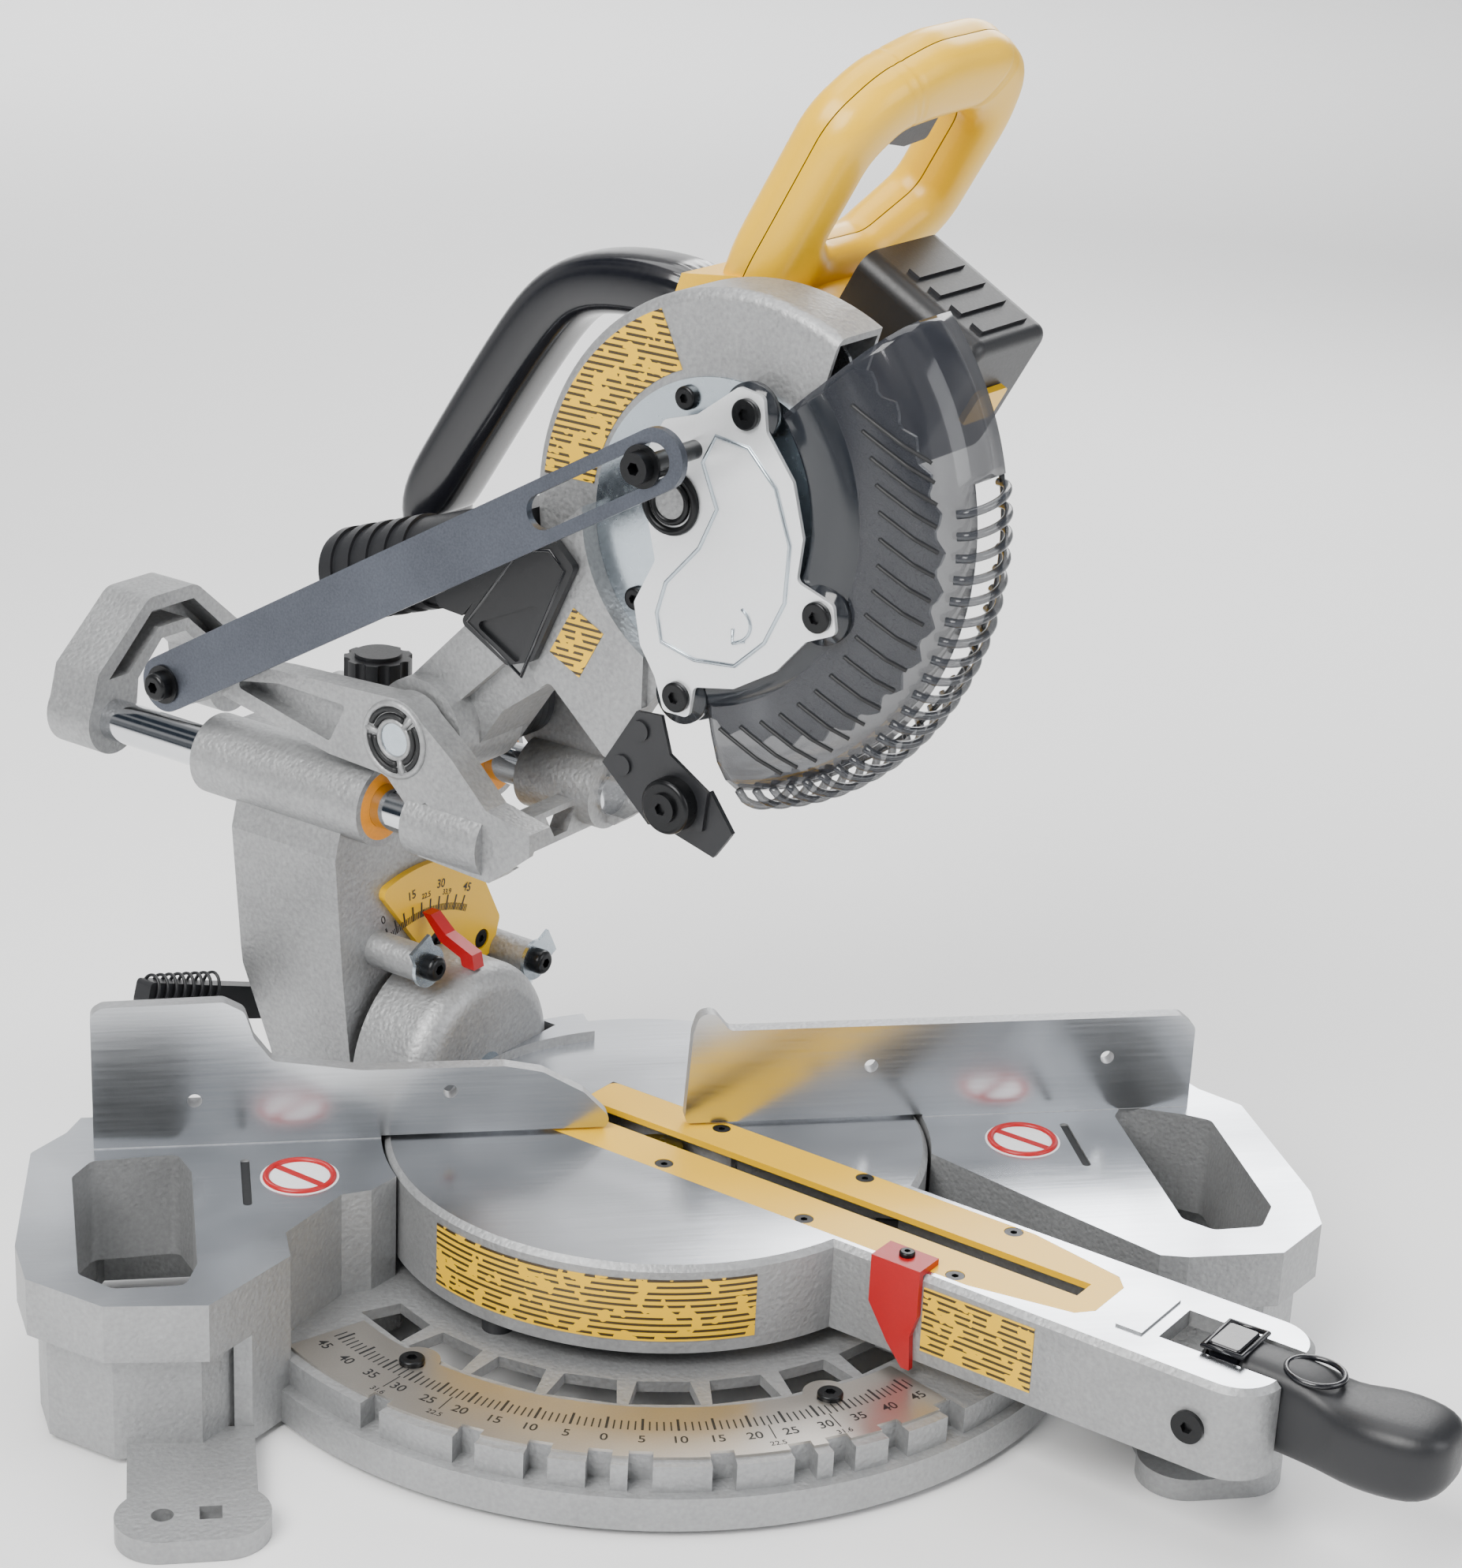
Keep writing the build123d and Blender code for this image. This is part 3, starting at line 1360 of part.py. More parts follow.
def motor_can():
    """Motor body inside the housing."""
    with BuildPart() as can:
        with BuildSketch(side(motor_outer + 8)):
            with Locations(motor_centre):
                Circle(motor_radius - 8)
        extrude(amount=motor_inner - motor_outer - 8 - apart)
    return can.part


def battery_pack():
    """Slide-on battery: black case with a stepped, ribbed cap."""
    wide = battery_left - battery_right
    with BuildPart() as pack:
        with BuildSketch(grip_plane(battery_near + battery_gap)):
            with Locations((-(battery_left + battery_right) / 2, (battery_low + battery_high) / 2)):
                RectangleRounded(wide, battery_high - battery_low, 8)
        extrude(amount=battery_far - battery_near - battery_gap)
        fillet(pack.faces().sort_by(Axis((0, 0, 0), grip_plane(0).z_dir))[-1].edges(), 5)
        for rib in range(4):
            with BuildSketch(grip_plane(battery_near + 16 + 12 * rib)):
                with Locations((-(battery_left + battery_right) / 2, battery_high)):
                    Rectangle(wide - 24, 3)
            extrude(amount=6)
    return pack.part


def battery_latch():
    with BuildPart() as latch:
        with BuildSketch(grip_plane(battery_far + apart)):
            with Locations((-(battery_left + battery_right) / 2, (battery_low + battery_high) / 2)):
                RectangleRounded(24, 16, 3)
        extrude(amount=3)
    return latch.part


handle_outline = [
    (-grip_left + 12, -34), (-grip_left, 4), (-grip_left, 84), (-grip_left + 20, 104),
    (-grip_left + 54, 116), (-grip_right - 34, 118), (-grip_right - 8, 104), (-grip_right, 76),
    (-grip_right - 2, 20), (-grip_right - 40, -30), (-grip_right - 60, -38),
]
opening_outline = [
    (-grip_left + 32, 32), (-grip_left + 32, 66), (-grip_left + 42, 78), (-grip_right - 40, 82),
    (-grip_right - 26, 72), (-grip_right - 26, 34), (-grip_right - 50, 16), (-grip_left + 50, 16),
]
trigger_right = (-grip_left + 46, -grip_left + 80)


def handle_half(sign):
    """One clamshell half of the D-handle, split on the handle's own plane."""
    with BuildPart() as half:
        with BuildSketch(grip_plane(0)):
            Polygon(*handle_outline, align=None)
            fillet(vertices(), 9)
            with BuildSketch(grip_plane(0), mode=Mode.SUBTRACT):
                Polygon(*opening_outline, align=None)
                fillet(vertices(), 7)
        extrude(amount=sign * grip_half_depth)
        far = half.faces().sort_by(Axis((0, 0, 0), grip_plane(0).z_dir))[-1 if sign > 0 else 0]
        fillet(far.edges(), 9)
        # the foot stands clear of the motor housing
        with BuildSketch(side(motor_outer - 1)):
            with Locations(motor_centre):
                Circle(motor_radius + apart)
            Polygon((-39, 385), (-35, 430), (-22.5, 463.5), (6, 466.5), (34.5, 452.5),
                    (48.5, 425), (46.5, 385), align=None)
        extrude(amount=motor_inner - motor_outer + 2, mode=Mode.SUBTRACT)
        with BuildSketch(grip_plane(battery_near)):
            with Locations((-(battery_left + battery_right) / 2, (battery_low + battery_high) / 2)):
                Rectangle(battery_left - battery_right + 2 * battery_gap,
                          battery_high - battery_low + 2 * battery_gap)
        extrude(amount=80, mode=Mode.SUBTRACT)
        # pocket of the trigger and its switch
        with BuildSketch(grip_plane(-7)):
            with Locations((sum(trigger_right) / 2, 86)):
                Rectangle(trigger_right[1] - trigger_right[0] + 2 * apart, 26)
        extrude(amount=14, mode=Mode.SUBTRACT)
    return half.part


def trigger():
    left, right = trigger_right
    with BuildPart() as lever:
        with BuildSketch(grip_plane(-6)):
            Polygon((left, 70), (left, 84), (right, 84), (right, 68), (right - 16, 66), align=None)
            fillet(vertices(), 2)
        extrude(amount=12)
    return lever.part


def carry_handle():
    """Black carrying bar that arches behind the head."""
    outline = [
        (-14, 466), (-62, 466), (-92, 458), (-112, 436), (-186, 334), (-176, 316), (-152, 312),
        (-142, 326), (-92, 424), (-76, 438), (-24, 432),
    ]
    with BuildPart() as bar:
        with BuildSketch(side(-58)):
            Polygon(*outline, align=None)
            fillet(vertices(), 6)
        extrude(amount=32)
        fillet(bar.faces().filter_by(Axis.Y).edges(), 7)
        with BuildSketch(side(-60)):
            Polygon((-39, 385), (-35, 430), (-22.5, 463.5), (6, 466.5), (34.5, 452.5),
                    (48.5, 425), (46.5, 385), align=None)
        extrude(amount=40, mode=Mode.SUBTRACT)
    return bar.part


def dust_tube():
    """Ribbed black dust spout behind the arm."""
    start = (-184.0, 0.0, 302.0)
    slope = math.radians(19)
    axis_plane = Plane(origin=start, x_dir=(0, 1, 0), z_dir=(math.cos(slope), 0, math.sin(slope)))
    with BuildPart() as tube:
        with BuildSketch(axis_plane):
            Circle(20)
        extrude(amount=96)
        for rib in range(5):
            with BuildSketch(axis_plane.offset(4 + 11 * rib)):
                Circle(21.5)
            extrude(amount=5)
        with BuildSketch(axis_plane):
            Circle(17)
        extrude(amount=80, mode=Mode.SUBTRACT)
        with BuildSketch(side(-40)):
            Polygon(*chute_outline, align=None)
            offset(amount=apart)
        extrude(amount=100, mode=Mode.SUBTRACT)
        with BuildSketch(side(upper_right - apart)):
            Polygon((-140, 290), (-117, 281.5), (-88, 310.5), (-60, 345.5), (-30, 372.5),
                    (-20, 300), (-60, 240), align=None)
        extrude(amount=60, mode=Mode.SUBTRACT)
    return tube.part


chute_outline = [(-117, 336), (-104, 312), (-91, 311), (-62, 346), (-52, 356), (-62, 362), (-96, 352)]


def dust_chute():
    """Moulded cover over the dust passage with a triangular recess."""
    with BuildPart() as chute:
        with BuildSketch(side(-24)):
            Polygon(*chute_outline, align=None)
            fillet(vertices(), 2)
        extrude(amount=54)
        with BuildSketch(side(arm_left + apart)):
            Polygon((-92, 308), (-66, 294), (-52, 299), (-31, 345), (-42, 355), (-62, 352),
                    align=None)
            fillet(vertices(), 3)
        extrude(amount=4)
        with BuildSketch(side(arm_left + apart)):
            Polygon(*chute_outline, align=None)
        extrude(amount=4)
        with BuildSketch(side(arm_left + apart + 4)):
            Polygon((-84, 309), (-60, 296), (-48, 326), align=None)
            fillet(vertices(), 2)
        extrude(amount=-2, mode=Mode.SUBTRACT)
        with BuildSketch(side(upper_right)):
            with Locations((blade_u, blade_z)):
                Circle(upper_radius + apart)
            Polygon((-126, 271), (-117, 280), (-88.5, 310.5), (-60, 346), (-30, 372),
                    (-20, 300), align=None)
        extrude(amount=arm_left - upper_right + apart, mode=Mode.SUBTRACT)
    return chute.part


def deflector():
    """Black plate riveted to the arm, with the roller bolt."""
    with BuildPart() as plate:
        with BuildSketch(side(arm_left)):
            Polygon((-15, 262), (2, 289), (15, 290), (20, 274), (40, 262), (38, 244), (10, 240),
                    align=None)
        extrude(amount=2)
        with BuildSketch(side(arm_left + 2)):
            with Locations((4.5, 281), (-4.3, 263.4)):
                Circle(4.5)
        extrude(amount=1.2)
        # rubber flap under the plate that points at the cut
        with BuildSketch(side(arm_left - 2.4)):
            Polygon((6, 243), (40, 262), (52, 246), (48, 240), (43, 233), (24, 238), align=None)
        extrude(amount=2.4)
    return plate.part


def guard_roller():
    with BuildPart() as roller:
        with BuildSketch(side(arm_left + 2)):
            with Locations((23.3, 253.2)):
                Circle(12)
        extrude(amount=8)
        fillet(roller.faces().sort_by(Axis.Y)[0].edges(), 2)
        with BuildSketch(side(arm_left + 10)):
            with Locations((23.3, 253.2)):
                Circle(6.5)
                RegularPolygon(2.8, 6, mode=Mode.SUBTRACT)
        extrude(amount=2)
    return roller.part


def head_labels():
    """Plain yellow and black label on the guard and a small dark one on the arm."""
    with BuildPart() as labels:
        with BuildSketch(side(upper_left)):
            with Locations((blade_u, blade_z)):
                Circle(upper_radius - 5)
                Circle(cover_radius + 6, mode=Mode.SUBTRACT)
            Polygon((blade_u, blade_z + 10), (-70, 378), (-70, 470), (-8, 470), align=None,
                    mode=Mode.INTERSECT)
        extrude(amount=label_thickness)
        with BuildSketch(side(arm_left)):
            Polygon((-46, 304), (-34, 326), (-18, 318), (-30, 296), align=None)
        extrude(amount=label_thickness)
    return labels.part


save("head_casting", head_casting())
save("guard_cover_plate", guard_cover())
save("cover_plate_screws", cover_screws())
save("motor_housing", motor_housing())
save("motor_can", motor_can())
save("battery_pack", battery_pack())
save("battery_latch", battery_latch())
save("handle_front_half", handle_half(1))
save("handle_rear_half", handle_half(-1))
save("trigger", trigger())
save("carry_handle", carry_handle())
save("dust_tube", dust_tube())
save("dust_chute", dust_chute())
save("deflector_plate", deflector())
save("guard_roller", guard_roller())
save("head_labels", head_labels())

# ---- blade ---------------------------------------------------------------------------------
teeth = 36
flange_radius = 18.0


def saw_blade():
    with BuildPart() as blade:
        with BuildSketch(side(-blade_thickness / 2)):
            with Locations((blade_u, blade_z)):
                Circle(blade_radius - 4)
            pitch = 2 * math.pi / teeth
            for tooth in range(teeth):
                root, tip = tooth * pitch, (tooth - 0.45) * pitch
                spots = []
                for angle, reach in ((root, blade_radius - 5), (tip, blade_radius),
                                     (tip - 0.3 * pitch, blade_radius - 2),
                                     (tip - 0.55 * pitch, blade_radius - 5)):
                    spots.append((blade_u + reach * math.cos(angle),
                                  blade_z + reach * math.sin(angle)))
                Polygon(*spots, align=None)
            with Locations((blade_u, blade_z)):
                Circle(spindle_radius, mode=Mode.SUBTRACT)
                with PolarLocations(44, 5):
                    Circle(5, mode=Mode.SUBTRACT)
        extrude(amount=blade_thickness)
    return blade.part


def blade_spindle():
    """Output spindle with its two flanges and the blade bolt."""
    with BuildPart() as spindle:
        with BuildSketch(side(motor_inner)):
            with Locations((blade_u, blade_z)):
                Circle(spindle_radius)
        extrude(amount=blade_thickness / 2 + 4 - motor_inner)
        with BuildSketch(side(blade_thickness / 2 + 4)):
            with Locations((blade_u, blade_z)):
                RegularPolygon(9, 6)
        extrude(amount=6)
        for face, depth in ((blade_thickness / 2, 4), (-blade_thickness / 2, -4)):
            with BuildSketch(side(face)):
                with Locations((blade_u, blade_z)):
                    Circle(flange_radius)
            extrude(amount=depth)
    return spindle.part


save("saw_blade", saw_blade())
save("blade_spindle", blade_spindle())

# ---- lower guard ---------------------------------------------------------------------------
guard_tail = -78.0
guard_lip = 42.0
guard_screw_radius = 3.0
hub_outline = [
    (2, 402), (10, 416), (26, 421), (46, 436), (58, 434), (60, 420), (74, 402), (80, 380),
    (78, 362), (96, 356), (98, 344), (84, 338), (70, 322), (50, 310), (30, 306), (28, 292),
    (15, 292), (10, 306), (2, 318), (-2, 336), (8, 356), (4, 372), (0, 384),
]


def sector(radius, start, end):
    """Corner points of a wedge about the guard pivot, wide enough for one radius."""
    reach = 1.5 * radius
    points = [(guard_u, guard_z)]
    for step in range(5):
        turn = math.radians(start + (end - start) * step / 4)
        points.append((guard_u + reach * math.cos(turn), guard_z + reach * math.sin(turn)))
    return points


def guard_shell():
    """Clear lower guard: side wall, rim, and cooling fins across the rim."""
    with BuildPart() as shell:
        with BuildSketch(side(shell_right)):
            with Locations((guard_u, guard_z)):
                Circle(guard_radius)
            Polygon(*sector(guard_radius, guard_tail, guard_lip), align=None, mode=Mode.INTERSECT)
        extrude(amount=shell_face + guard_wall - shell_right)
        with BuildSketch(side(shell_right)):
            with Locations((guard_u, guard_z)):
                Circle(guard_radius - guard_wall)
        extrude(amount=shell_face - shell_right, mode=Mode.SUBTRACT)
        with BuildSketch(side(shell_right)):
            with Locations((guard_u + 12, guard_z - 7)):
                Circle(62)
            with Locations((guard_u, guard_z)):
                Circle(26)
        extrude(amount=60, mode=Mode.SUBTRACT)
        fins = 22
        for fin in range(fins):
            angle = guard_tail + 3 + fin * (guard_lip - 34 - guard_tail) / fins
            turn = math.radians(angle)
            middle = guard_radius + guard_fin / 2 - 1
            spot = (guard_u + middle * math.cos(turn), guard_z + middle * math.sin(turn))
            with BuildSketch(side(shell_right)):
                with Locations(Location(spot, angle)):
                    Rectangle(guard_fin, 1.8)
            extrude(amount=shell_face - 6 - shell_right)
    return shell.part


def hub_plate():
    """Silver plate that hangs the shell on the guard pivot."""
    with BuildPart() as plate:
        with BuildSketch(side(hub_left)):
            Polygon(*hub_outline, align=None)
            fillet(vertices(), 3)
            with Locations((guard_u, guard_z)):
                Circle(post_radius + running, mode=Mode.SUBTRACT)
        extrude(amount=hub_thickness)
        # spacers down to the shell
        with BuildSketch(side(shell_face + guard_wall)):
            with Locations(*ears):
                Circle(6)
        extrude(amount=hub_left - shell_face - guard_wall)
        with BuildSketch(side(shell_face + guard_wall)):
            with Locations(*ears):
                Circle(guard_screw_radius + running)
        extrude(amount=hub_left + hub_thickness - shell_face - guard_wall, mode=Mode.SUBTRACT)
    return plate.part


def guard_screws():
    length = hub_left + hub_thickness - shell_face - guard_wall
    return pan_screw(side(hub_left + hub_thickness), ears, 6.5, 2.6, guard_screw_radius, length)


def link_front_screw():
    """Shouldered screw on the hub plate that runs in the link bar's slot."""
    with BuildPart() as screw:
        with BuildSketch(side(hub_left + hub_thickness)):
            with Locations((link_front[0], link_front[1])):
                Circle(link_pin_radius)
        extrude(amount=link_left + link_thickness - hub_left - hub_thickness + 0.6)
        with BuildSketch(side(link_left + link_thickness + 0.6)):
            with Locations((link_front[0], link_front[1])):
                Circle(9)
        extrude(amount=1.2)
        with BuildSketch(side(link_left + link_thickness + 1.8)):
            with Locations((link_front[0], link_front[1])):
                Circle(6.5)
                RegularPolygon(2.8, 6, mode=Mode.SUBTRACT)
        extrude(amount=5)
    return screw.part


save("lower_guard_shell", guard_shell())
save("guard_hub_plate", hub_plate())
save("guard_screws", guard_screws())
save("link_front_screw", link_front_screw())
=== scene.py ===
"""Looks, light and camera for the sliding miter saw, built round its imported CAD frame."""

import json
import logging
import math
from dataclasses import dataclass, field
from enum import Enum

import bpy
from mathutils import Matrix, Vector

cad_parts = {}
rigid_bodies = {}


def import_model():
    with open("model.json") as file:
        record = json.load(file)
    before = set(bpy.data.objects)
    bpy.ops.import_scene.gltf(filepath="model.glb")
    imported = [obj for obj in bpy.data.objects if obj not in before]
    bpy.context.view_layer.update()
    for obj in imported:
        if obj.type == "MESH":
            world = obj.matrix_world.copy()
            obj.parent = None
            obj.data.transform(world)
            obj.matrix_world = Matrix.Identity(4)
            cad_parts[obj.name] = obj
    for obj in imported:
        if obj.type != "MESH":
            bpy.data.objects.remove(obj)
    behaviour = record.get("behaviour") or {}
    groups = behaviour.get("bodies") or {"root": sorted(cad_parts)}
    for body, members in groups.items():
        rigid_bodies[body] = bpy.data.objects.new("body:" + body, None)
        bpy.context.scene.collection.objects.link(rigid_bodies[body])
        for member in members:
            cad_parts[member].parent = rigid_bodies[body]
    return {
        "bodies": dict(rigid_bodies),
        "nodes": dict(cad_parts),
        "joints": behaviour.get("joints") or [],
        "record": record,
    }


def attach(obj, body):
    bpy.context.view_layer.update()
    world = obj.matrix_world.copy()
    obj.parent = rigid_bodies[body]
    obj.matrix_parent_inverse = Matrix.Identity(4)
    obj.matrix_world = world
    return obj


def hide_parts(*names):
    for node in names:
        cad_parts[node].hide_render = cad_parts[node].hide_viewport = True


log = logging.getLogger("miter_saw")
MM = 0.001
DIAGONAL = math.sqrt(0.5)


class Way(Enum):
    """How a surface was made, which decides its bump and roughness pattern."""

    CAST = "sand-blasted die casting"
    BRUSHED = "brushed along its length"
    MOULDED = "moulded with a fine spark-eroded grain"
    GLOSS = "moulded or plated smooth"
    ROLLED = "cold rolled and blued"


def linear(hex_colour: str) -> tuple[float, float, float, float]:
    """Turn an sRGB hex colour into the linear values Blender works in.

    Args:
        hex_colour: Six hex digits, with or without a leading mark.

    Returns:
        Red, green, blue and an alpha of one.
    """
    digits = hex_colour.lstrip("#")
    parts = [int(digits[i:i + 2], 16) / 255 for i in (0, 2, 4)]
    value = [c / 12.92 if c <= 0.04045 else ((c + 0.055) / 1.055) ** 2.4 for c in parts]
    return (value[0], value[1], value[2], 1.0)


def put(tree: bpy.types.NodeTree, kind: str, settings: dict | None = None,
        links: dict | None = None) -> bpy.types.Node:
    """Add one node with its settings and incoming links.

    Args:
        tree: Node tree to add to.
        kind: Blender's type name of the node.
        settings: Property or input name to value; an input may be an index.
        links: Input name or index to the output socket that feeds it.

    Returns:
        The new node.
    """
    node = tree.nodes.new(kind)
    for name, value in (settings or {}).items():
        if isinstance(name, str) and hasattr(node, name):
            setattr(node, name, value)
        else:
            node.inputs[name].default_value = value
    for name, socket in (links or {}).items():
        tree.links.new(socket, node.inputs[name])
    return node


def arm(forward: float, right: float, height: float) -> Vector:
    """Point given along the swung arm, in millimetres, as a place in the frame.

    Args:
        forward: Distance along the arm from the miter pivot.
        right: Distance to the operator's right of the blade.
        height: Height above the bench.

    Returns:
        The point in metres.
    """
    return Vector((DIAGONAL * (forward + right), DIAGONAL * (right - forward), height)) * MM


def plan(angle: float, radius: float, height: float) -> Vector:
    """Point on a circle round the miter pivot.

    Args:
        angle: Degrees from straight ahead, positive to the operator's right.
        radius: Distance from the pivot in millimetres.
        height: Height above the bench in millimetres.

    Returns:
        The point in metres.
    """
    turn = math.radians(angle - 90)
    return Vector((radius * math.cos(turn), radius * math.sin(turn), height)) * MM


def rounded(count: int, flat_x: float = 1.0, flat_y: float = 1.0) -> list[tuple[float, float]]:
    """Points round a circle of radius one, or round a soft-cornered box of that reach.

    Args:
        count: How many points.
        flat_x: Power that flattens the sides; one gives an ellipse.
        flat_y: Power that flattens top and bottom.

    Returns:
        Pairs of coordinates, counter-clockwise.
    """
    pairs = []
    for j in range(count):
        turn = 2 * math.pi * j / count
        cos, sin = math.cos(turn), math.sin(turn)
        pairs.append((math.copysign(abs(cos) ** flat_x, cos),
                      math.copysign(abs(sin) ** flat_y, sin)))
    return pairs


def strip_faces(columns: int, used: list[int]) -> list[list[int]]:
    """Faces of a grid of points, row after row.

    Args:
        columns: Points in each row.
        used: For each step to the next row, how many faces of it are kept.

    Returns:
        Four corner numbers for each face.
    """
    return [[i * columns + j, i * columns + j + 1, (i + 1) * columns + j + 1, (i + 1) * columns + j]
            for i, last in enumerate(used) for j in range(last)]


ARM_FORWARD = Vector((DIAGONAL, -DIAGONAL, 0))
UP = Vector((0, 0, 1))


@dataclass(frozen=True)
class Finish:
    """One finish: what it is made of, its colour and how its surface was made."""

    name: str
    colour: str
    way: Way
    roughness: float
    metal: float = 0.0
    grain_mm: float = 1.6
    bump: float = 0.2
    spread: float = 0.08
    coat: float = 0.0

    def build(self) -> bpy.types.Material:
        """Make the material.

        Returns:
            The node-based material, ready for a slot.
        """
        material = bpy.data.materials.new(self.name)
        material.use_nodes = True
        tree = material.node_tree
        shader = tree.nodes["Principled BSDF"]
        shader.inputs["Metallic"].default_value = self.metal
        if self.coat:
            shader.inputs["Coat Weight"].default_value = self.coat
            shader.inputs["Coat Roughness"].default_value = 0.12
        place = put(tree, "ShaderNodeTexCoord").outputs["Object"]
        self._colour(tree, shader, place)
        self._relief(tree, shader, place)
        return material

    def _colour(self, tree: bpy.types.NodeTree, shader: bpy.types.Node,
                place: bpy.types.NodeSocket) -> None:
        """Give the surface its colour with the slow and fine unevenness of the real one."""
        base = linear(self.colour)
        slow = put(tree, "ShaderNodeTexNoise", {"Scale": 1 / (45 * MM), "Detail": 3.0},
                   {"Vector": place})
        fine = put(tree, "ShaderNodeTexNoise", {"Scale": 1 / (self.grain_mm * MM), "Detail": 2.0},
                   {"Vector": place})
        mixed = put(tree, "ShaderNodeMath", {"operation": "ADD"},
                    {0: slow.outputs["Fac"], 1: fine.outputs["Fac"]})
        dark = [c * (1 - self.spread) for c in base[:3]] + [1.0]
        light = [min(1.0, c * (1 + self.spread)) for c in base[:3]] + [1.0]
        ramp = put(tree, "ShaderNodeValToRGB", links={"Fac": put(
            tree, "ShaderNodeMath", {"operation": "MULTIPLY", 1: 0.5},
            {0: mixed.outputs[0]}).outputs[0]})
        ramp.color_ramp.elements[0].position = 0.32
        ramp.color_ramp.elements[1].position = 0.68
        ramp.color_ramp.elements[0].color = dark
        ramp.color_ramp.elements[1].color = light
        tree.links.new(ramp.outputs["Color"], shader.inputs["Base Color"])

    def _relief(self, tree: bpy.types.NodeTree, shader: bpy.types.Node,
                place: bpy.types.NodeSocket) -> None:
        """Give the surface its bump and uneven gloss."""
        grain = 1 / (self.grain_mm * MM)
        if self.way is Way.CAST:
            # pebbled skin of a blasted casting: round grains over a slow swell
            cells = put(tree, "ShaderNodeTexVoronoi", {"Scale": grain, "feature": "SMOOTH_F1"},
                        {"Vector": place}).outputs["Distance"]
            height = put(tree, "ShaderNodeTexNoise", {"Scale": grain * 0.8, "Detail": 4.0,
                                                     "Roughness": 0.65}, {"Vector": place})
            pattern = put(tree, "ShaderNodeMath", {"operation": "ADD"},
                          {0: cells, 1: height.outputs["Fac"]}).outputs[0]
        elif self.way in (Way.BRUSHED, Way.ROLLED):
            # drawn-out noise: brushing runs from side to side and rolling streaks run upright,
            # neither wider than a millimetre
            stretched = put(tree, "ShaderNodeMapping",
                            {"Scale": (grain, grain, grain * 0.06) if self.way is Way.ROLLED
                             else (grain * 0.04, grain, grain)}, {"Vector": place})
            pattern = put(tree, "ShaderNodeTexNoise", {"Scale": 1.0, "Detail": 2.0},
                          {"Vector": stretched.outputs[0]}).outputs["Fac"]
        else:
            pattern = put(tree, "ShaderNodeTexNoise", {"Scale": grain, "Detail": 2.0},
                          {"Vector": place}).outputs["Fac"]
        bump = put(tree, "ShaderNodeBump", {"Strength": self.bump,
                                            "Distance": self.grain_mm * MM * 0.25},
                   {"Height": pattern})
        tree.links.new(bump.outputs["Normal"], shader.inputs["Normal"])
        gloss = put(tree, "ShaderNodeMapRange", {"To Min": max(0.02, self.roughness - 0.07),
                                                "To Max": self.roughness + 0.09},
                    {"Value": pattern})
        tree.links.new(gloss.outputs[0], shader.inputs["Roughness"])


@dataclass(frozen=True)
class MilledCasting:
    """Casting whose upward or forward face was milled: grainy below, mirror-like on the cut."""

    name: str
    cast: str
    milled: str
    above_mm: float
    axis: int
    sign: float

    def build(self) -> bpy.types.Material:
        """Make the material.

        Returns:
            A cast aluminium finish with a bright milled face.
        """
        material = Finish(self.name, self.cast, Way.CAST, 0.46, 0.72, 2.0, 0.5, 0.13).build()
        tree = material.node_tree
        shader = tree.nodes["Principled BSDF"]
        out = tree.nodes["Material Output"]
        bright = tree.nodes.new("ShaderNodeBsdfPrincipled")
        bright.inputs["Metallic"].default_value = 1.0
        place = put(tree, "ShaderNodeTexCoord").outputs["Object"]
        # cutter strokes: 1.4 mm apart across, 40 mm long
        long = put(tree, "ShaderNodeMapping", {"Scale": (25.0, 700.0, 700.0)}, {"Vector": place})
        marks = put(tree, "ShaderNodeTexNoise", {"Scale": 1.0, "Detail": 3.0},
                    {"Vector": long.outputs[0]}).outputs["Fac"]
        # painted reflection: slow dark and light streaks in the cut face's colour stand in for the
        # room it mirrors
        swell = put(tree, "ShaderNodeTexNoise", {"Scale": 9.0, "Detail": 2.0, "Distortion": 0.6},
                    {"Vector": place})
        reflection_tone = put(tree, "ShaderNodeValToRGB", links={"Fac": swell.outputs["Fac"]})
        reflection_tone.color_ramp.elements[0].position = 0.36
        reflection_tone.color_ramp.elements[1].position = 0.64
        base = linear(self.milled)
        reflection_tone.color_ramp.elements[0].color = [c * 0.62 for c in base[:3]] + [1.0]
        reflection_tone.color_ramp.elements[1].color = base
        tree.links.new(reflection_tone.outputs["Color"], bright.inputs["Base Color"])
        rough = put(tree, "ShaderNodeMapRange", {"To Min": 0.16, "To Max": 0.3}, {"Value": marks})
        tree.links.new(rough.outputs[0], bright.inputs["Roughness"])
        bump = put(tree, "ShaderNodeBump", {"Strength": 0.06, "Distance": 0.2 * MM},
                   {"Height": marks})
        tree.links.new(bump.outputs["Normal"], bright.inputs["Normal"])
        # the cut is a plane: its height and its facing pick it out
        spot = put(tree, "ShaderNodeSeparateXYZ", links={0: place})
        facing = put(tree, "ShaderNodeSeparateXYZ",
                     links={0: put(tree, "ShaderNodeTexCoord").outputs["Normal"]})
        level = put(tree, "ShaderNodeMath", {"operation": "GREATER_THAN", 1: self.above_mm * MM},
                    {0: spot.outputs[2]})
        turned = put(tree, "ShaderNodeMath", {"operation": "MULTIPLY", 1: self.sign},
                     {0: facing.outputs[self.axis]})
        flat = put(tree, "ShaderNodeMath", {"operation": "GREATER_THAN", 1: 0.97},
                   {0: turned.outputs[0]})
        both = put(tree, "ShaderNodeMath", {"operation": "MULTIPLY"},
                   {0: level.outputs[0], 1: flat.outputs[0]})
        mix = put(tree, "ShaderNodeMixShader", links={0: both.outputs[0], 1: shader.outputs[0],
                                                     2: bright.outputs[0]})
        tree.links.new(mix.outputs[0], out.inputs["Surface"])
        return material


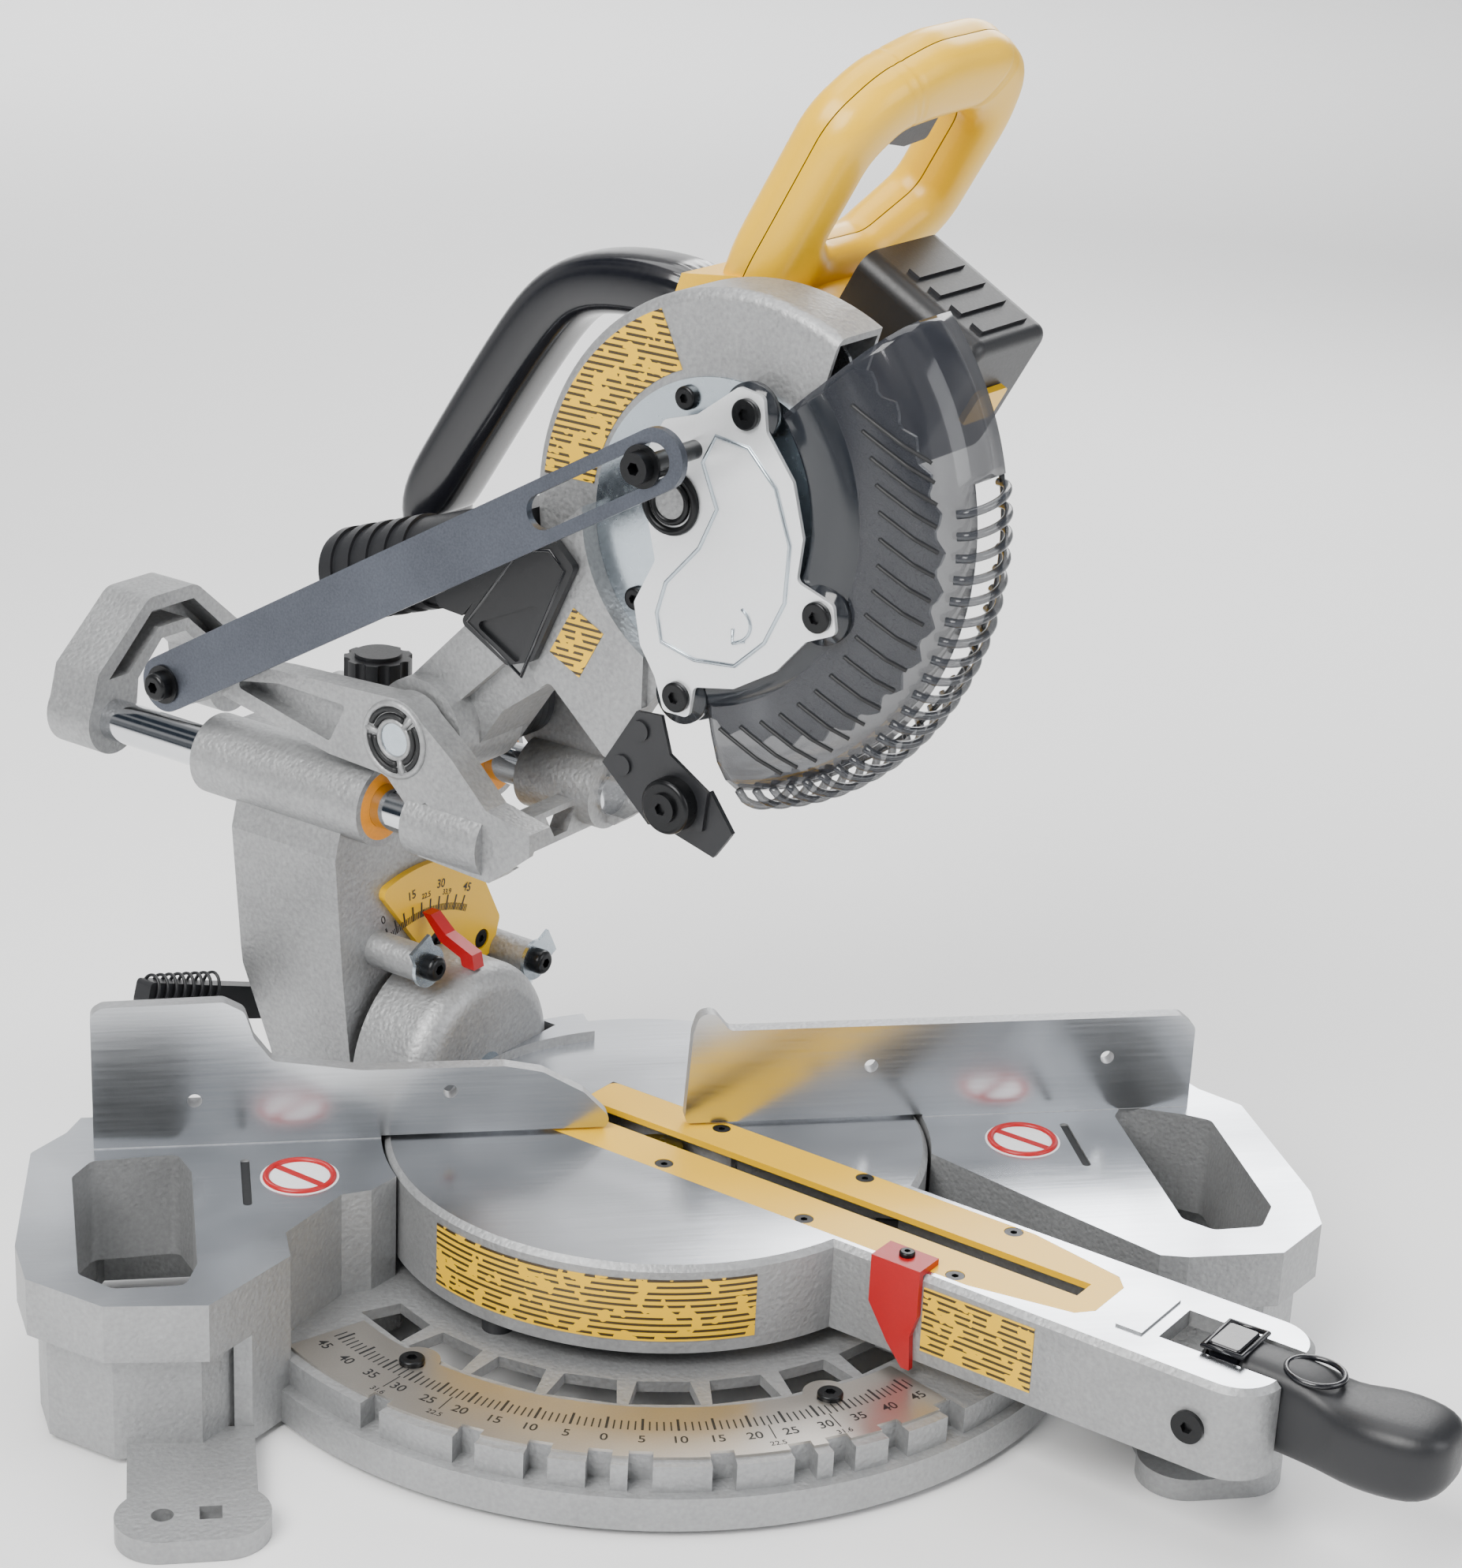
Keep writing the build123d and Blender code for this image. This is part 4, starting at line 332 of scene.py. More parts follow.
@dataclass(frozen=True)
class ClearPlastic:
    """Smoke-tinted polycarbonate: see-through head on, darker and shinier at grazing edges."""

    name: str = "smoked_polycarbonate"
    colour: str = "33353b"
    alpha: float = 0.6

    def build(self) -> bpy.types.Material:
        """Make the material.

        Returns:
            A tinted, partly transparent plastic.
        """
        material = bpy.data.materials.new(self.name)
        material.use_nodes = True
        tree = material.node_tree
        shader = tree.nodes["Principled BSDF"]
        shader.inputs["IOR"].default_value = 1.58
        shader.inputs["Base Color"].default_value = linear(self.colour)
        place = put(tree, "ShaderNodeTexCoord").outputs["Object"]
        flow = put(tree, "ShaderNodeTexNoise", {"Scale": 14.0, "Detail": 2.0}, {"Vector": place})
        rough = put(tree, "ShaderNodeMapRange", {"To Min": 0.05, "To Max": 0.16},
                    {"Value": flow.outputs["Fac"]})
        tree.links.new(rough.outputs[0], shader.inputs["Roughness"])
        edge = put(tree, "ShaderNodeLayerWeight", {"Blend": 0.35})
        alpha = put(tree, "ShaderNodeMapRange", {"To Min": self.alpha, "To Max": 0.96},
                    {"Value": edge.outputs["Facing"]})
        tree.links.new(alpha.outputs[0], shader.inputs["Alpha"])
        return material


@dataclass(frozen=True)
class PrintedLabel:
    """Vinyl label with generic grey bars in place of print."""

    name: str = "printed_vinyl_label"
    ground: str = "ecba00"
    print_colour: str = "3a2c12"

    def build(self) -> bpy.types.Material:
        """Make the material.

        Returns:
            Yellow vinyl crossed by short level bars with gaps, like lines of small print.
        """
        material = bpy.data.materials.new(self.name)
        material.use_nodes = True
        tree = material.node_tree
        shader = tree.nodes["Principled BSDF"]
        shader.inputs["Roughness"].default_value = 0.34
        place = put(tree, "ShaderNodeTexCoord").outputs["Object"]
        spot = put(tree, "ShaderNodeSeparateXYZ", links={0: place})
        # lines 3 mm apart, print 1.2 mm high
        rows = put(tree, "ShaderNodeMath", {"operation": "MULTIPLY", 1: 1 / (3.0 * MM)},
                   {0: spot.outputs[2]})
        part = put(tree, "ShaderNodeMath", {"operation": "FRACT"}, {0: rows.outputs[0]})
        line = put(tree, "ShaderNodeMath", {"operation": "LESS_THAN", 1: 0.42},
                   {0: part.outputs[0]})
        words = put(tree, "ShaderNodeTexNoise", {"Scale": 150.0, "Detail": 1.0}, {"Vector": place})
        word = put(tree, "ShaderNodeMath", {"operation": "GREATER_THAN", 1: 0.44},
                   {0: words.outputs["Fac"]})
        ink = put(tree, "ShaderNodeMath", {"operation": "MULTIPLY"},
                  {0: line.outputs[0], 1: word.outputs[0]})
        mix = put(tree, "ShaderNodeMix", {"data_type": "RGBA"}, {"Factor": ink.outputs[0]})
        mix.inputs[6].default_value = linear(self.ground)
        mix.inputs[7].default_value = linear(self.print_colour)
        tree.links.new(mix.outputs[2], shader.inputs["Base Color"])
        return material


AnyFinish = Finish | MilledCasting | ClearPlastic | PrintedLabel

# die-cast aluminium: bright grey with a sparkle of grains
CAST = Finish("cast_aluminium", "a3a4a5", Way.CAST, 0.44, 0.72, 2.0, 0.5, 0.2)
# milled table and wings: the cut face mirrors the room, with soft streaks of painted reflection in
# its colour
TABLE = MilledCasting("milled_table_casting", "a3a4a5", "e4e7ec", 78.6, 2, 1.0)
WINGS = MilledCasting("milled_wing_casting", "a3a4a5", "dfe3e9", 78.6, 2, 1.0)
FENCES = MilledCasting("milled_fence_casting", "b0b1b3", "e4e7eb", 79.5, 1, -1.0)
# etched stainless scale: warm grey, brushed
SCALE = Finish("brushed_stainless_scale", "b7b2ab", Way.BRUSHED, 0.33, 0.9, 0.8, 0.12, 0.06)
# stamped aluminium hub plate: nearly white, satin
SATIN = Finish("satin_stamped_aluminium", "eceef0", Way.MOULDED, 0.34, 0.55, 1.2, 0.05, 0.03)
# bright zinc plate: bluish, soft gloss
ZINC = Finish("zinc_plated_steel", "b9c3cb", Way.GLOSS, 0.24, 1.0, 3.0, 0.06, 0.1)
# hard chrome on the rails
CHROME = Finish("ground_chromed_rail", "d8dadd", Way.GLOSS, 0.06, 1.0, 4.0, 0.01, 0.02)
# black oxide on socket screws
OXIDE = Finish("black_oxide_steel", "17181a", Way.GLOSS, 0.3, 0.5, 2.0, 0.05, 0.1)
# blued strip: slate with faint rolling streaks
BLUED = Finish("blued_spring_strip", "52565f", Way.ROLLED, 0.36, 0.75, 1.0, 0.12, 0.22)
# ground blade plate
BLADE = Finish("ground_blade_steel", "a9acb0", Way.BRUSHED, 0.28, 1.0, 0.8, 0.1, 0.08)
# glass-filled nylon, yellow, semi gloss
YELLOW = Finish("yellow_moulded_nylon", "f4be00", Way.MOULDED, 0.34, 0.0, 1.2, 0.05, 0.02, 0.1)
# glass-filled nylon, black
BLACK = Finish("black_moulded_nylon", "1c1d20", Way.MOULDED, 0.42, 0.0, 1.2, 0.1, 0.12)
# polished black plastic of the carrying bar
GLOSS_BLACK = Finish("polished_black_plastic", "14151a", Way.GLOSS, 0.2, 0.0, 2.5, 0.03, 0.1, 0.4)
RED = Finish("red_moulded_plastic", "ab0610", Way.MOULDED, 0.35, 0.0, 1.4, 0.06, 0.05)
ORANGE = Finish("orange_felt_wiper", "f79a00", Way.MOULDED, 0.5, 0.0, 1.4, 0.14, 0.1)
SPRING = Finish("oiled_spring_steel", "4a4b4e", Way.BRUSHED, 0.34, 0.9, 0.8, 0.1, 0.1)
# black for etched print on the scales, and for painted shade in the sight grooves, ear pockets and
# guard slots
INK_AND_SHADE = Finish("etched_marks_and_painted_shade", "17181a", Way.GLOSS, 0.5, 0.0, 2.0, 0.02, 0.05)
WHITE = Finish("white_printed_vinyl", "e9eaec", Way.GLOSS, 0.35, 0.0, 2.0, 0.02, 0.03)


@dataclass
class Palette:
    """Builds each finish once and hands it out."""

    made: dict[str, bpy.types.Material] = field(default_factory=dict)

    def get(self, finish: AnyFinish) -> bpy.types.Material:
        """Return the material of a finish, building it at first use."""
        if finish.name not in self.made:
            self.made[finish.name] = finish.build()
        return self.made[finish.name]

    def dress(self, thing: bpy.types.Object, finish: AnyFinish) -> None:
        """Fill every material slot of an object with one finish."""
        material = self.get(finish)
        if not thing.material_slots:
            thing.data.materials.append(material)
        for slot in thing.material_slots:
            slot.material = material


@dataclass
class Shop:
    """What every sub-assembly needs: the frame and the palette."""

    frame: dict
    palette: Palette

    def dress_nodes(self, finishes: dict) -> None:
        """Give CAD nodes their finishes.

        Args:
            finishes: Node name to finish.
        """
        for name, finish in finishes.items():
            self.palette.dress(self.frame["nodes"][name], finish)

    def mesh(self, name: str, points: list, faces: list, body: str, slot: str,
             finish: AnyFinish, smooth: bool = True) -> bpy.types.Object:
        """Make a mesh piece that rides on a body.

        Args:
            name: Piece name.
            points: Corners in metres.
            faces: Lists of corner numbers.
            body: Body it moves with.
            slot: Record slot, not used.
            finish: Finish to dress it in.
            smooth: Whether faces shade smoothly.

        Returns:
            The new object.
        """
        data = bpy.data.meshes.new(name)
        data.from_pydata([tuple(p) for p in points], [], faces)
        data.validate()
        if smooth:
            data.polygons.foreach_set("use_smooth", [True] * len(data.polygons))
        thing = bpy.data.objects.new(name, data)
        bpy.context.scene.collection.objects.link(thing)
        self.palette.dress(thing, finish)
        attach(thing, body)
        log.info("piece %s rides on %s", name, body)
        return thing

    def loft(self, name: str, rings: list, body: str, slot: str,
             finish: AnyFinish) -> bpy.types.Object:
        """Skin a row of closed rings and close both ends.

        Args:
            name: Piece name.
            rings: Lists of points in metres, all of one length.
            body: Body it moves with.
            slot: Record slot, not used.
            finish: Finish to dress it in.

        Returns:
            The new object.
        """
        around = len(rings[0])
        points = [spot for ring in rings for spot in ring]
        faces = []
        for i in range(len(rings) - 1):
            for j in range(around):
                k = (j + 1) % around
                faces.append([i * around + j, i * around + k, (i + 1) * around + k,
                              (i + 1) * around + j])
        faces.append(list(reversed(range(around))))
        faces.append([(len(rings) - 1) * around + j for j in range(around)])
        return self.mesh(name, points, faces, body, slot, finish)

    def tubes(self, name: str, paths: list, radius: float, body: str, slot: str,
              finish: AnyFinish, closed: bool = False, sides: int = 8) -> bpy.types.Object:
        """Make round bars along paths, joined into one mesh.

        Args:
            name: Piece name.
            paths: Lists of points in metres.
            radius: Bar radius in metres.
            body: Body it moves with.
            slot: Record slot, not used.
            finish: Finish to dress it in.
            closed: Whether each path closes on itself.
            sides: Facets round the bar.

        Returns:
            The new object.
        """
        points: list[Vector] = []
        faces: list[list[int]] = []
        for path in paths:
            start = len(points)
            count = len(path)
            for i, spot in enumerate(path):
                ahead = path[(i + 1) % count] if closed or i + 1 < count else spot
                behind = path[i - 1] if closed or i else spot
                along = (ahead - behind).normalized()
                first = along.orthogonal().normalized() if i == 0 else \
                    (first - along * first.dot(along)).normalized()
                second = along.cross(first)
                for j in range(sides):
                    turn = 2 * math.pi * j / sides
                    across = first * math.cos(turn) + second * math.sin(turn)
                    points.append(spot + across * radius)
            for i in range(count if closed else count - 1):
                for j in range(sides):
                    a, b = i * sides + j, i * sides + (j + 1) % sides
                    c, d = (i + 1) % count * sides + (j + 1) % sides, (i + 1) % count * sides + j
                    faces.append([start + a, start + b, start + c, start + d])
            if not closed:
                faces.append([start + j for j in reversed(range(sides))])
                faces.append([start + (count - 1) * sides + j for j in range(sides)])
        return self.mesh(name, points, faces, body, slot, finish)

    def bars(self, name: str, marks: list, body: str, slot: str,
             finish: AnyFinish) -> bpy.types.Object:
        """Make thin flat strokes, such as scale ticks, as one mesh of low slabs.

        Args:
            name: Piece name.
            marks: Tuples of start, end, width direction, half width, lift direction.
            body: Body they move with.
            slot: Record slot, not used.
            finish: Finish to dress them in.

        Returns:
            The new object.
        """
        points: list[Vector] = []
        faces: list[list[int]] = []
        for start, end, across, half, lift in marks:
            n = len(points)
            for spot in (start, end):
                for sign in (-1, 1):
                    points.append(spot + across * half * sign)
                    points.append(spot + across * half * sign + lift)
            faces += [[n + k for k in corners] for corners in (
                (1, 3, 7, 5), (0, 4, 6, 2), (0, 1, 5, 4), (2, 6, 7, 3), (0, 2, 3, 1), (4, 5, 7, 6))]
        return self.mesh(name, points, faces, body, slot, finish, smooth=False)

    def number(self, text: str, size: float, spot: Vector, right: Vector, up: Vector, body: str,
               slot: str, finish: AnyFinish) -> None:
        """Set one dial number on a surface.

        Args:
            text: Digits.
            size: Height in metres.
            spot: Middle of the number.
            right: Reading direction.
            up: Upward direction of the digits.
            body: Body it moves with.
            slot: Record slot, not used.
            finish: Finish to dress it in.
        """
        name = "dial_" + text.replace(".", "_") + "_" + str(len(bpy.data.objects))
        curve = bpy.data.curves.new(name + "_curve", "FONT")
        curve.body = text
        curve.size = size
        curve.align_x = "CENTER"
        curve.align_y = "CENTER"
        curve.offset = size * 0.012
        curve.extrude = 0.02 * MM
        flat = bpy.data.objects.new(name + "_curve", curve)
        bpy.context.scene.collection.objects.link(flat)
        bpy.context.view_layer.update()
        data = bpy.data.meshes.new_from_object(flat.evaluated_get(
            bpy.context.evaluated_depsgraph_get()))
        bpy.data.objects.remove(flat)
        out = right.cross(up).normalized()
        turn = Matrix((right, up, out)).transposed().to_4x4()
        data.transform(Matrix.Translation(spot) @ turn)
        thing = bpy.data.objects.new(name, data)
        bpy.context.scene.collection.objects.link(thing)
        self.palette.dress(thing, finish)
        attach(thing, body)


@dataclass
class Base:
    """Cast base with milled wings, fences and the steel miter scale."""

    shop: Shop
    zero_angle: float = -15.0
    tick_inner: float = 164.0
    tick_outer: float = 170.5
    number_radius: float = 177.3
    plate_top: float = 31.2
    disc_spots: tuple = ((-161.0, -28.0), (164.0, -22.0))
    groove_spots: tuple = ((-184.0, -31.0), (187.0, -28.0))

    def dress(self) -> None:
        """Finish the CAD pieces."""
        self.shop.dress_nodes({
            "base_casting": WINGS, "left_fence": FENCES, "right_fence": FENCES,
            "fence_bolts": OXIDE,
            "miter_scale_plate": SCALE, "scale_screws": OXIDE, "wing_discs": WHITE,
            "glide_pads": BLACK, "miter_pivot_bolt": ZINC})

    def scale(self) -> None:
        """Etch the degree marks and numbers."""
        marks = []
        for degree in range(-46, 47):
            angle = self.zero_angle + degree
            long = degree % 5 == 0
            inner = self.tick_inner - (2.0 if long else 0.0)
            across = plan(angle, 1, 0).cross(UP).normalized()
            marks.append((plan(angle, inner, self.plate_top),
                          plan(angle, self.tick_outer, self.plate_top),
                          across, (0.55 if long else 0.33) * MM, UP * 0.06 * MM))
        for degree in (-31.6, -22.5, 22.5, 31.6):
            angle = self.zero_angle + degree
            across = plan(angle, 1, 0).cross(UP).normalized()
            marks.append((plan(angle, self.tick_outer, self.plate_top),
                          plan(angle, 181, self.plate_top),
                          across, 0.25 * MM, UP * 0.06 * MM))
            right = -across if across.dot(plan(angle + 90, 1, 0)) < 0 else across
            self.shop.number(f"{abs(degree):g}", 4.2 * MM, plan(angle, 184.4, self.plate_top),
                             right, -plan(angle, 1, 0).normalized(), "base", "black_screw", INK_AND_SHADE)
        self.shop.bars("miter_scale_marks", marks, "base", "black_screw", INK_AND_SHADE)
        for degree in range(-45, 46, 5):
            angle = self.zero_angle + degree
            up = -plan(angle, 1, 0).normalized()
            self.shop.number(str(abs(degree)), 7.0 * MM,
                             plan(angle, self.number_radius, self.plate_top),
                             up.cross(UP).normalized(), up, "base", "black_screw", INK_AND_SHADE)

    def keep_out_signs(self) -> None:
        """Put a red ring and bar on each wing disc, and lay a dark strip of painted shade in the
        sight groove beside it.
        """
        rings = []
        bars = []
        groove_shade = []
        for x, y in self.disc_spots:
            centre = Vector((x, y, 79.25)) * MM
            rings.append([centre + Vector((dx, dy, 0)) * 14.6 * MM for dx, dy in rounded(48)])
            slant = Vector((DIAGONAL, -DIAGONAL, 0))
            bars.append((centre - slant * 14 * MM, centre + slant * 14 * MM,
                         Vector((DIAGONAL, DIAGONAL, 0)), 1.5 * MM, UP * 0.5 * MM))
        # painted shade: a dark strip along the bottom of each sight groove, where shade falls
        for x, y in self.groove_spots:
            groove_shade.append((Vector((x, y - 20, 78.1)) * MM, Vector((x, y + 20, 78.1)) * MM,
                            Vector((1, 0, 0)), 1.9 * MM, UP * 0.1 * MM))
        self.shop.tubes("keep_out_rings", rings, 1.5 * MM, "base", "red_plastic", RED, closed=True)
        self.shop.bars("keep_out_bars", bars, "base", "red_plastic", RED)
        self.shop.bars("sight_groove_shade", groove_shade, "base", "black_screw", INK_AND_SHADE)

    def build(self) -> None:
        """Make everything on the base."""
        self.dress()
        self.scale()
        self.keep_out_signs()


@dataclass
class Table:
    """Turntable, kerf plate, cursor and the miter lock."""

    shop: Shop
    pocket: tuple = ((281.3, -10.7, 60.0), (296.7, 10.7, 90.0))

    def dress(self) -> None:
        """Finish the CAD pieces."""
        self.shop.dress_nodes({
            "turntable": TABLE, "kerf_plate": YELLOW, "table_screws": OXIDE, "miter_cursor": RED,
            "table_labels": PrintedLabel(), "bevel_support": CAST, "bevel_pointer": RED,
            "bevel_pivot_pin": ZINC, "bevel_stop_bolt": ZINC, "lever_pivot_screw": OXIDE,
            "miter_lock_lever": BLACK, "detent_button": GLOSS_BLACK, "detent_plunger": ZINC})

    def lever(self) -> None:
        """Model the lock lever as one flowing paddle with a cup behind it."""
        stations = [
            # forward, half width, top, bottom
            (277, 12.6, 78, 56), (284, 12.6, 81, 47), (298, 12.6, 81.6, 43), (314, 12.8, 81.6, 43),
            (327, 14.0, 80.5, 43), (335, 15.0, 78, 43), (343, 18, 77, 43.5), (352, 21, 78.5, 44),
            (363, 21.8, 79.5, 45), (375, 20, 79.5, 46), (382, 16.5, 78, 49), (386, 11, 75, 53),
            (387.6, 5, 71, 58)]
        rings = []
        for forward, half, top, bottom in stations:
            middle, tall = (top + bottom) / 2, (top - bottom) / 2
            rings.append([arm(forward, half * x, middle + tall * z)
                          for x, z in rounded(28, 0.5, 0.6)])
        paddle = self.shop.loft("lock_paddle", rings, "lock_lever", "black_plastic", BLACK)
        smooth = paddle.modifiers.new("round", "SUBSURF")
        smooth.levels = smooth.render_levels = 1
        self.cut_pocket(paddle)
        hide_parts("miter_lock_lever")
        cup = [arm(325 + 12 * x, 10.5 * y, 80.6) for x, y in rounded(32)]
        self.shop.tubes("cup_rim", [cup], 1.3 * MM, "lock_lever", "black_plastic", GLOSS_BLACK,
                        closed=True)
        self.shop.tubes("button_frame", [[arm(281, -12, 81.6), arm(281, 12, 81.6),
                                          arm(298, 12, 82.2),
                                          arm(298, -12, 82.2)]], 1.3 * MM, "lock_lever",
                        "black_plastic", GLOSS_BLACK, closed=True)

    def cut_pocket(self, paddle: bpy.types.Object) -> None:
        """Cut the well that the release button sinks into.

        Args:
            paddle: The lever's mesh piece, still with its modifiers.
        """
        low, high = self.pocket
        corners = [arm(u, r, z) for u in (low[0], high[0]) for r in (low[1], high[1])
                   for z in (low[2], high[2])]
        data = bpy.data.meshes.new("well")
        data.from_pydata([tuple(c) for c in corners], [],
                         [[0, 1, 3, 2], [4, 6, 7, 5], [0, 4, 5, 1], [2, 3, 7, 6], [0, 2, 6, 4],
                          [1, 5, 7, 3]])
        well = bpy.data.objects.new("well", data)
        bpy.context.scene.collection.objects.link(well)
        cut = paddle.modifiers.new("well", "BOOLEAN")
        cut.operation = "DIFFERENCE"
        cut.object = well
        bpy.context.view_layer.update()
        solid = bpy.data.meshes.new_from_object(
            paddle.evaluated_get(bpy.context.evaluated_depsgraph_get()))
        paddle.modifiers.clear()
        paddle.data = solid
        bpy.data.objects.remove(well)

    def build(self) -> None:
        """Make everything on the turntable."""
        self.dress()
        self.lever()


@dataclass
class Trunk:
    """Tilting trunk with its bevel scale, stops and levers."""

    shop: Shop
    face: float = -138.35
    pivot: float = 79.0
    zero: float = 111.0

    def spot(self, value: float, radius: float) -> Vector:
        """Point on the bevel scale for a reading and a radius."""
        turn = math.radians(self.zero - value)
        return arm(self.face, radius * math.cos(turn), self.pivot + radius * math.sin(turn))

    def scale(self) -> None:
        """Mark the bevel scale."""
        marks = []
        for degree in range(-2, 49):
            long = degree % 5 == 0
            out = (self.spot(degree, 10) - self.spot(degree, 0)).normalized()
            across = out.cross(ARM_FORWARD).normalized()
            marks.append((self.spot(degree, 66.5), self.spot(degree, 74.0 if long else 70.0),
                          across,
                          (0.5 if long else 0.3) * MM, ARM_FORWARD * 0.08 * MM))
        self.shop.bars("bevel_scale_marks", marks, "trunk", "black_screw", INK_AND_SHADE)
        for value, size, reach in ((0, 6, 79), (15, 6, 80), (22.5, 3.8, 76.5), (30, 6, 80),
                                   (33.9, 3.8, 75.5), (45, 6, 78)):
            up = (self.spot(value, 10) - self.spot(value, 0)).normalized()
            self.shop.number(f"{value:g}", size * MM,
                             self.spot(value, reach) + ARM_FORWARD * 0.08 * MM,
                             up.cross(ARM_FORWARD).normalized(), up, "trunk", "black_screw", INK_AND_SHADE)

    def lever_grip(self) -> None:
        """Give the bevel lever its ribbed round grip."""
        start = arm(-215, -62, 79 + 29)
        end = arm(-215, -101, 79 + 41)
        rings = []
        axis = (end - start).normalized()
        side = axis.cross(ARM_FORWARD).normalized()
        for i in range(8):
            middle = start.lerp(end, i / 7)
            rings.append([middle + (ARM_FORWARD * x * 5.2 + side * y * 7.2) * MM
                          for x, y in rounded(24)])
        self.shop.tubes("bevel_lever_ribs", rings, 0.8 * MM, "bevel_lever", "black_plastic", BLACK,
                        closed=True, sides=6)

    def build(self) -> None:
        """Make everything on the trunk."""
        self.shop.dress_nodes({
            "rail_housing": CAST, "rail_bushings": ZINC, "rail_wipers": ORANGE,
            "bevel_scale": YELLOW,
            "bevel_scale_screws": OXIDE, "bevel_stop_brackets": ZINC, "bevel_stop_screws": OXIDE,
            "bevel_lock_lever": BLACK, "rail_lock_knob": BLACK})
        self.scale()
        self.lever_grip()


@dataclass
class Carriage:
    """Rails, yoke, rear cap and link bar."""

    shop: Shop
    pivot: tuple = (-112.0, 254.0)

    def web(self) -> None:
        """Add the boss rim, its three webs and dark strokes of painted shade in its pockets, on the
        left ear.
        """
        u, z = self.pivot
        for name, radius, count, bar in (("ear_rim", 16.5, 40, 1.5), ("ear_core", 8.6, 32, 1.2)):
            loop = [arm(u + radius * x, -52.0, z + radius * y) for x, y in rounded(count)]
            self.shop.tubes(name, [loop], bar * MM, "carriage", "cast_aluminium", CAST, closed=True)
        webs = []
        for turn in (50, 170, 290):
            a = math.radians(turn)
            webs.append([arm(u + 9 * math.cos(a), -52.2, z + 9 * math.sin(a)),
                         arm(u + 16 * math.cos(a), -52.2, z + 16 * math.sin(a))])
        self.shop.tubes("ear_webs", webs, 1.4 * MM, "carriage", "cast_aluminium", CAST)
        # painted shade: dark arcs between the webs, where shade falls in the boss's pockets
        pocket = []
        for i in range(6):
            low = math.radians(50 + 120 * (i // 2) + 12)
            high = math.radians(50 + 120 * (i // 2) + 108)
            radius = 11.0 if i % 2 else 14.0
            pocket.append([arm(u + radius * math.cos(low + (high - low) * k / 10), -52.15,
                               z + radius * math.sin(low + (high - low) * k / 10))
                           for k in range(11)])
        self.shop.tubes("ear_pocket_shade", pocket, 1.35 * MM, "carriage", "black_screw", INK_AND_SHADE, sides=6)

    def build(self) -> None:
        """Make everything on the carriage."""
        self.shop.dress_nodes({
            "slide_rails": CHROME, "carriage_yoke": CAST, "rear_cap": CAST, "head_pivot_pin": ZINC,
            "link_rear_screw": OXIDE, "return_spring": SPRING, "link_bar": BLUED})
        self.web()


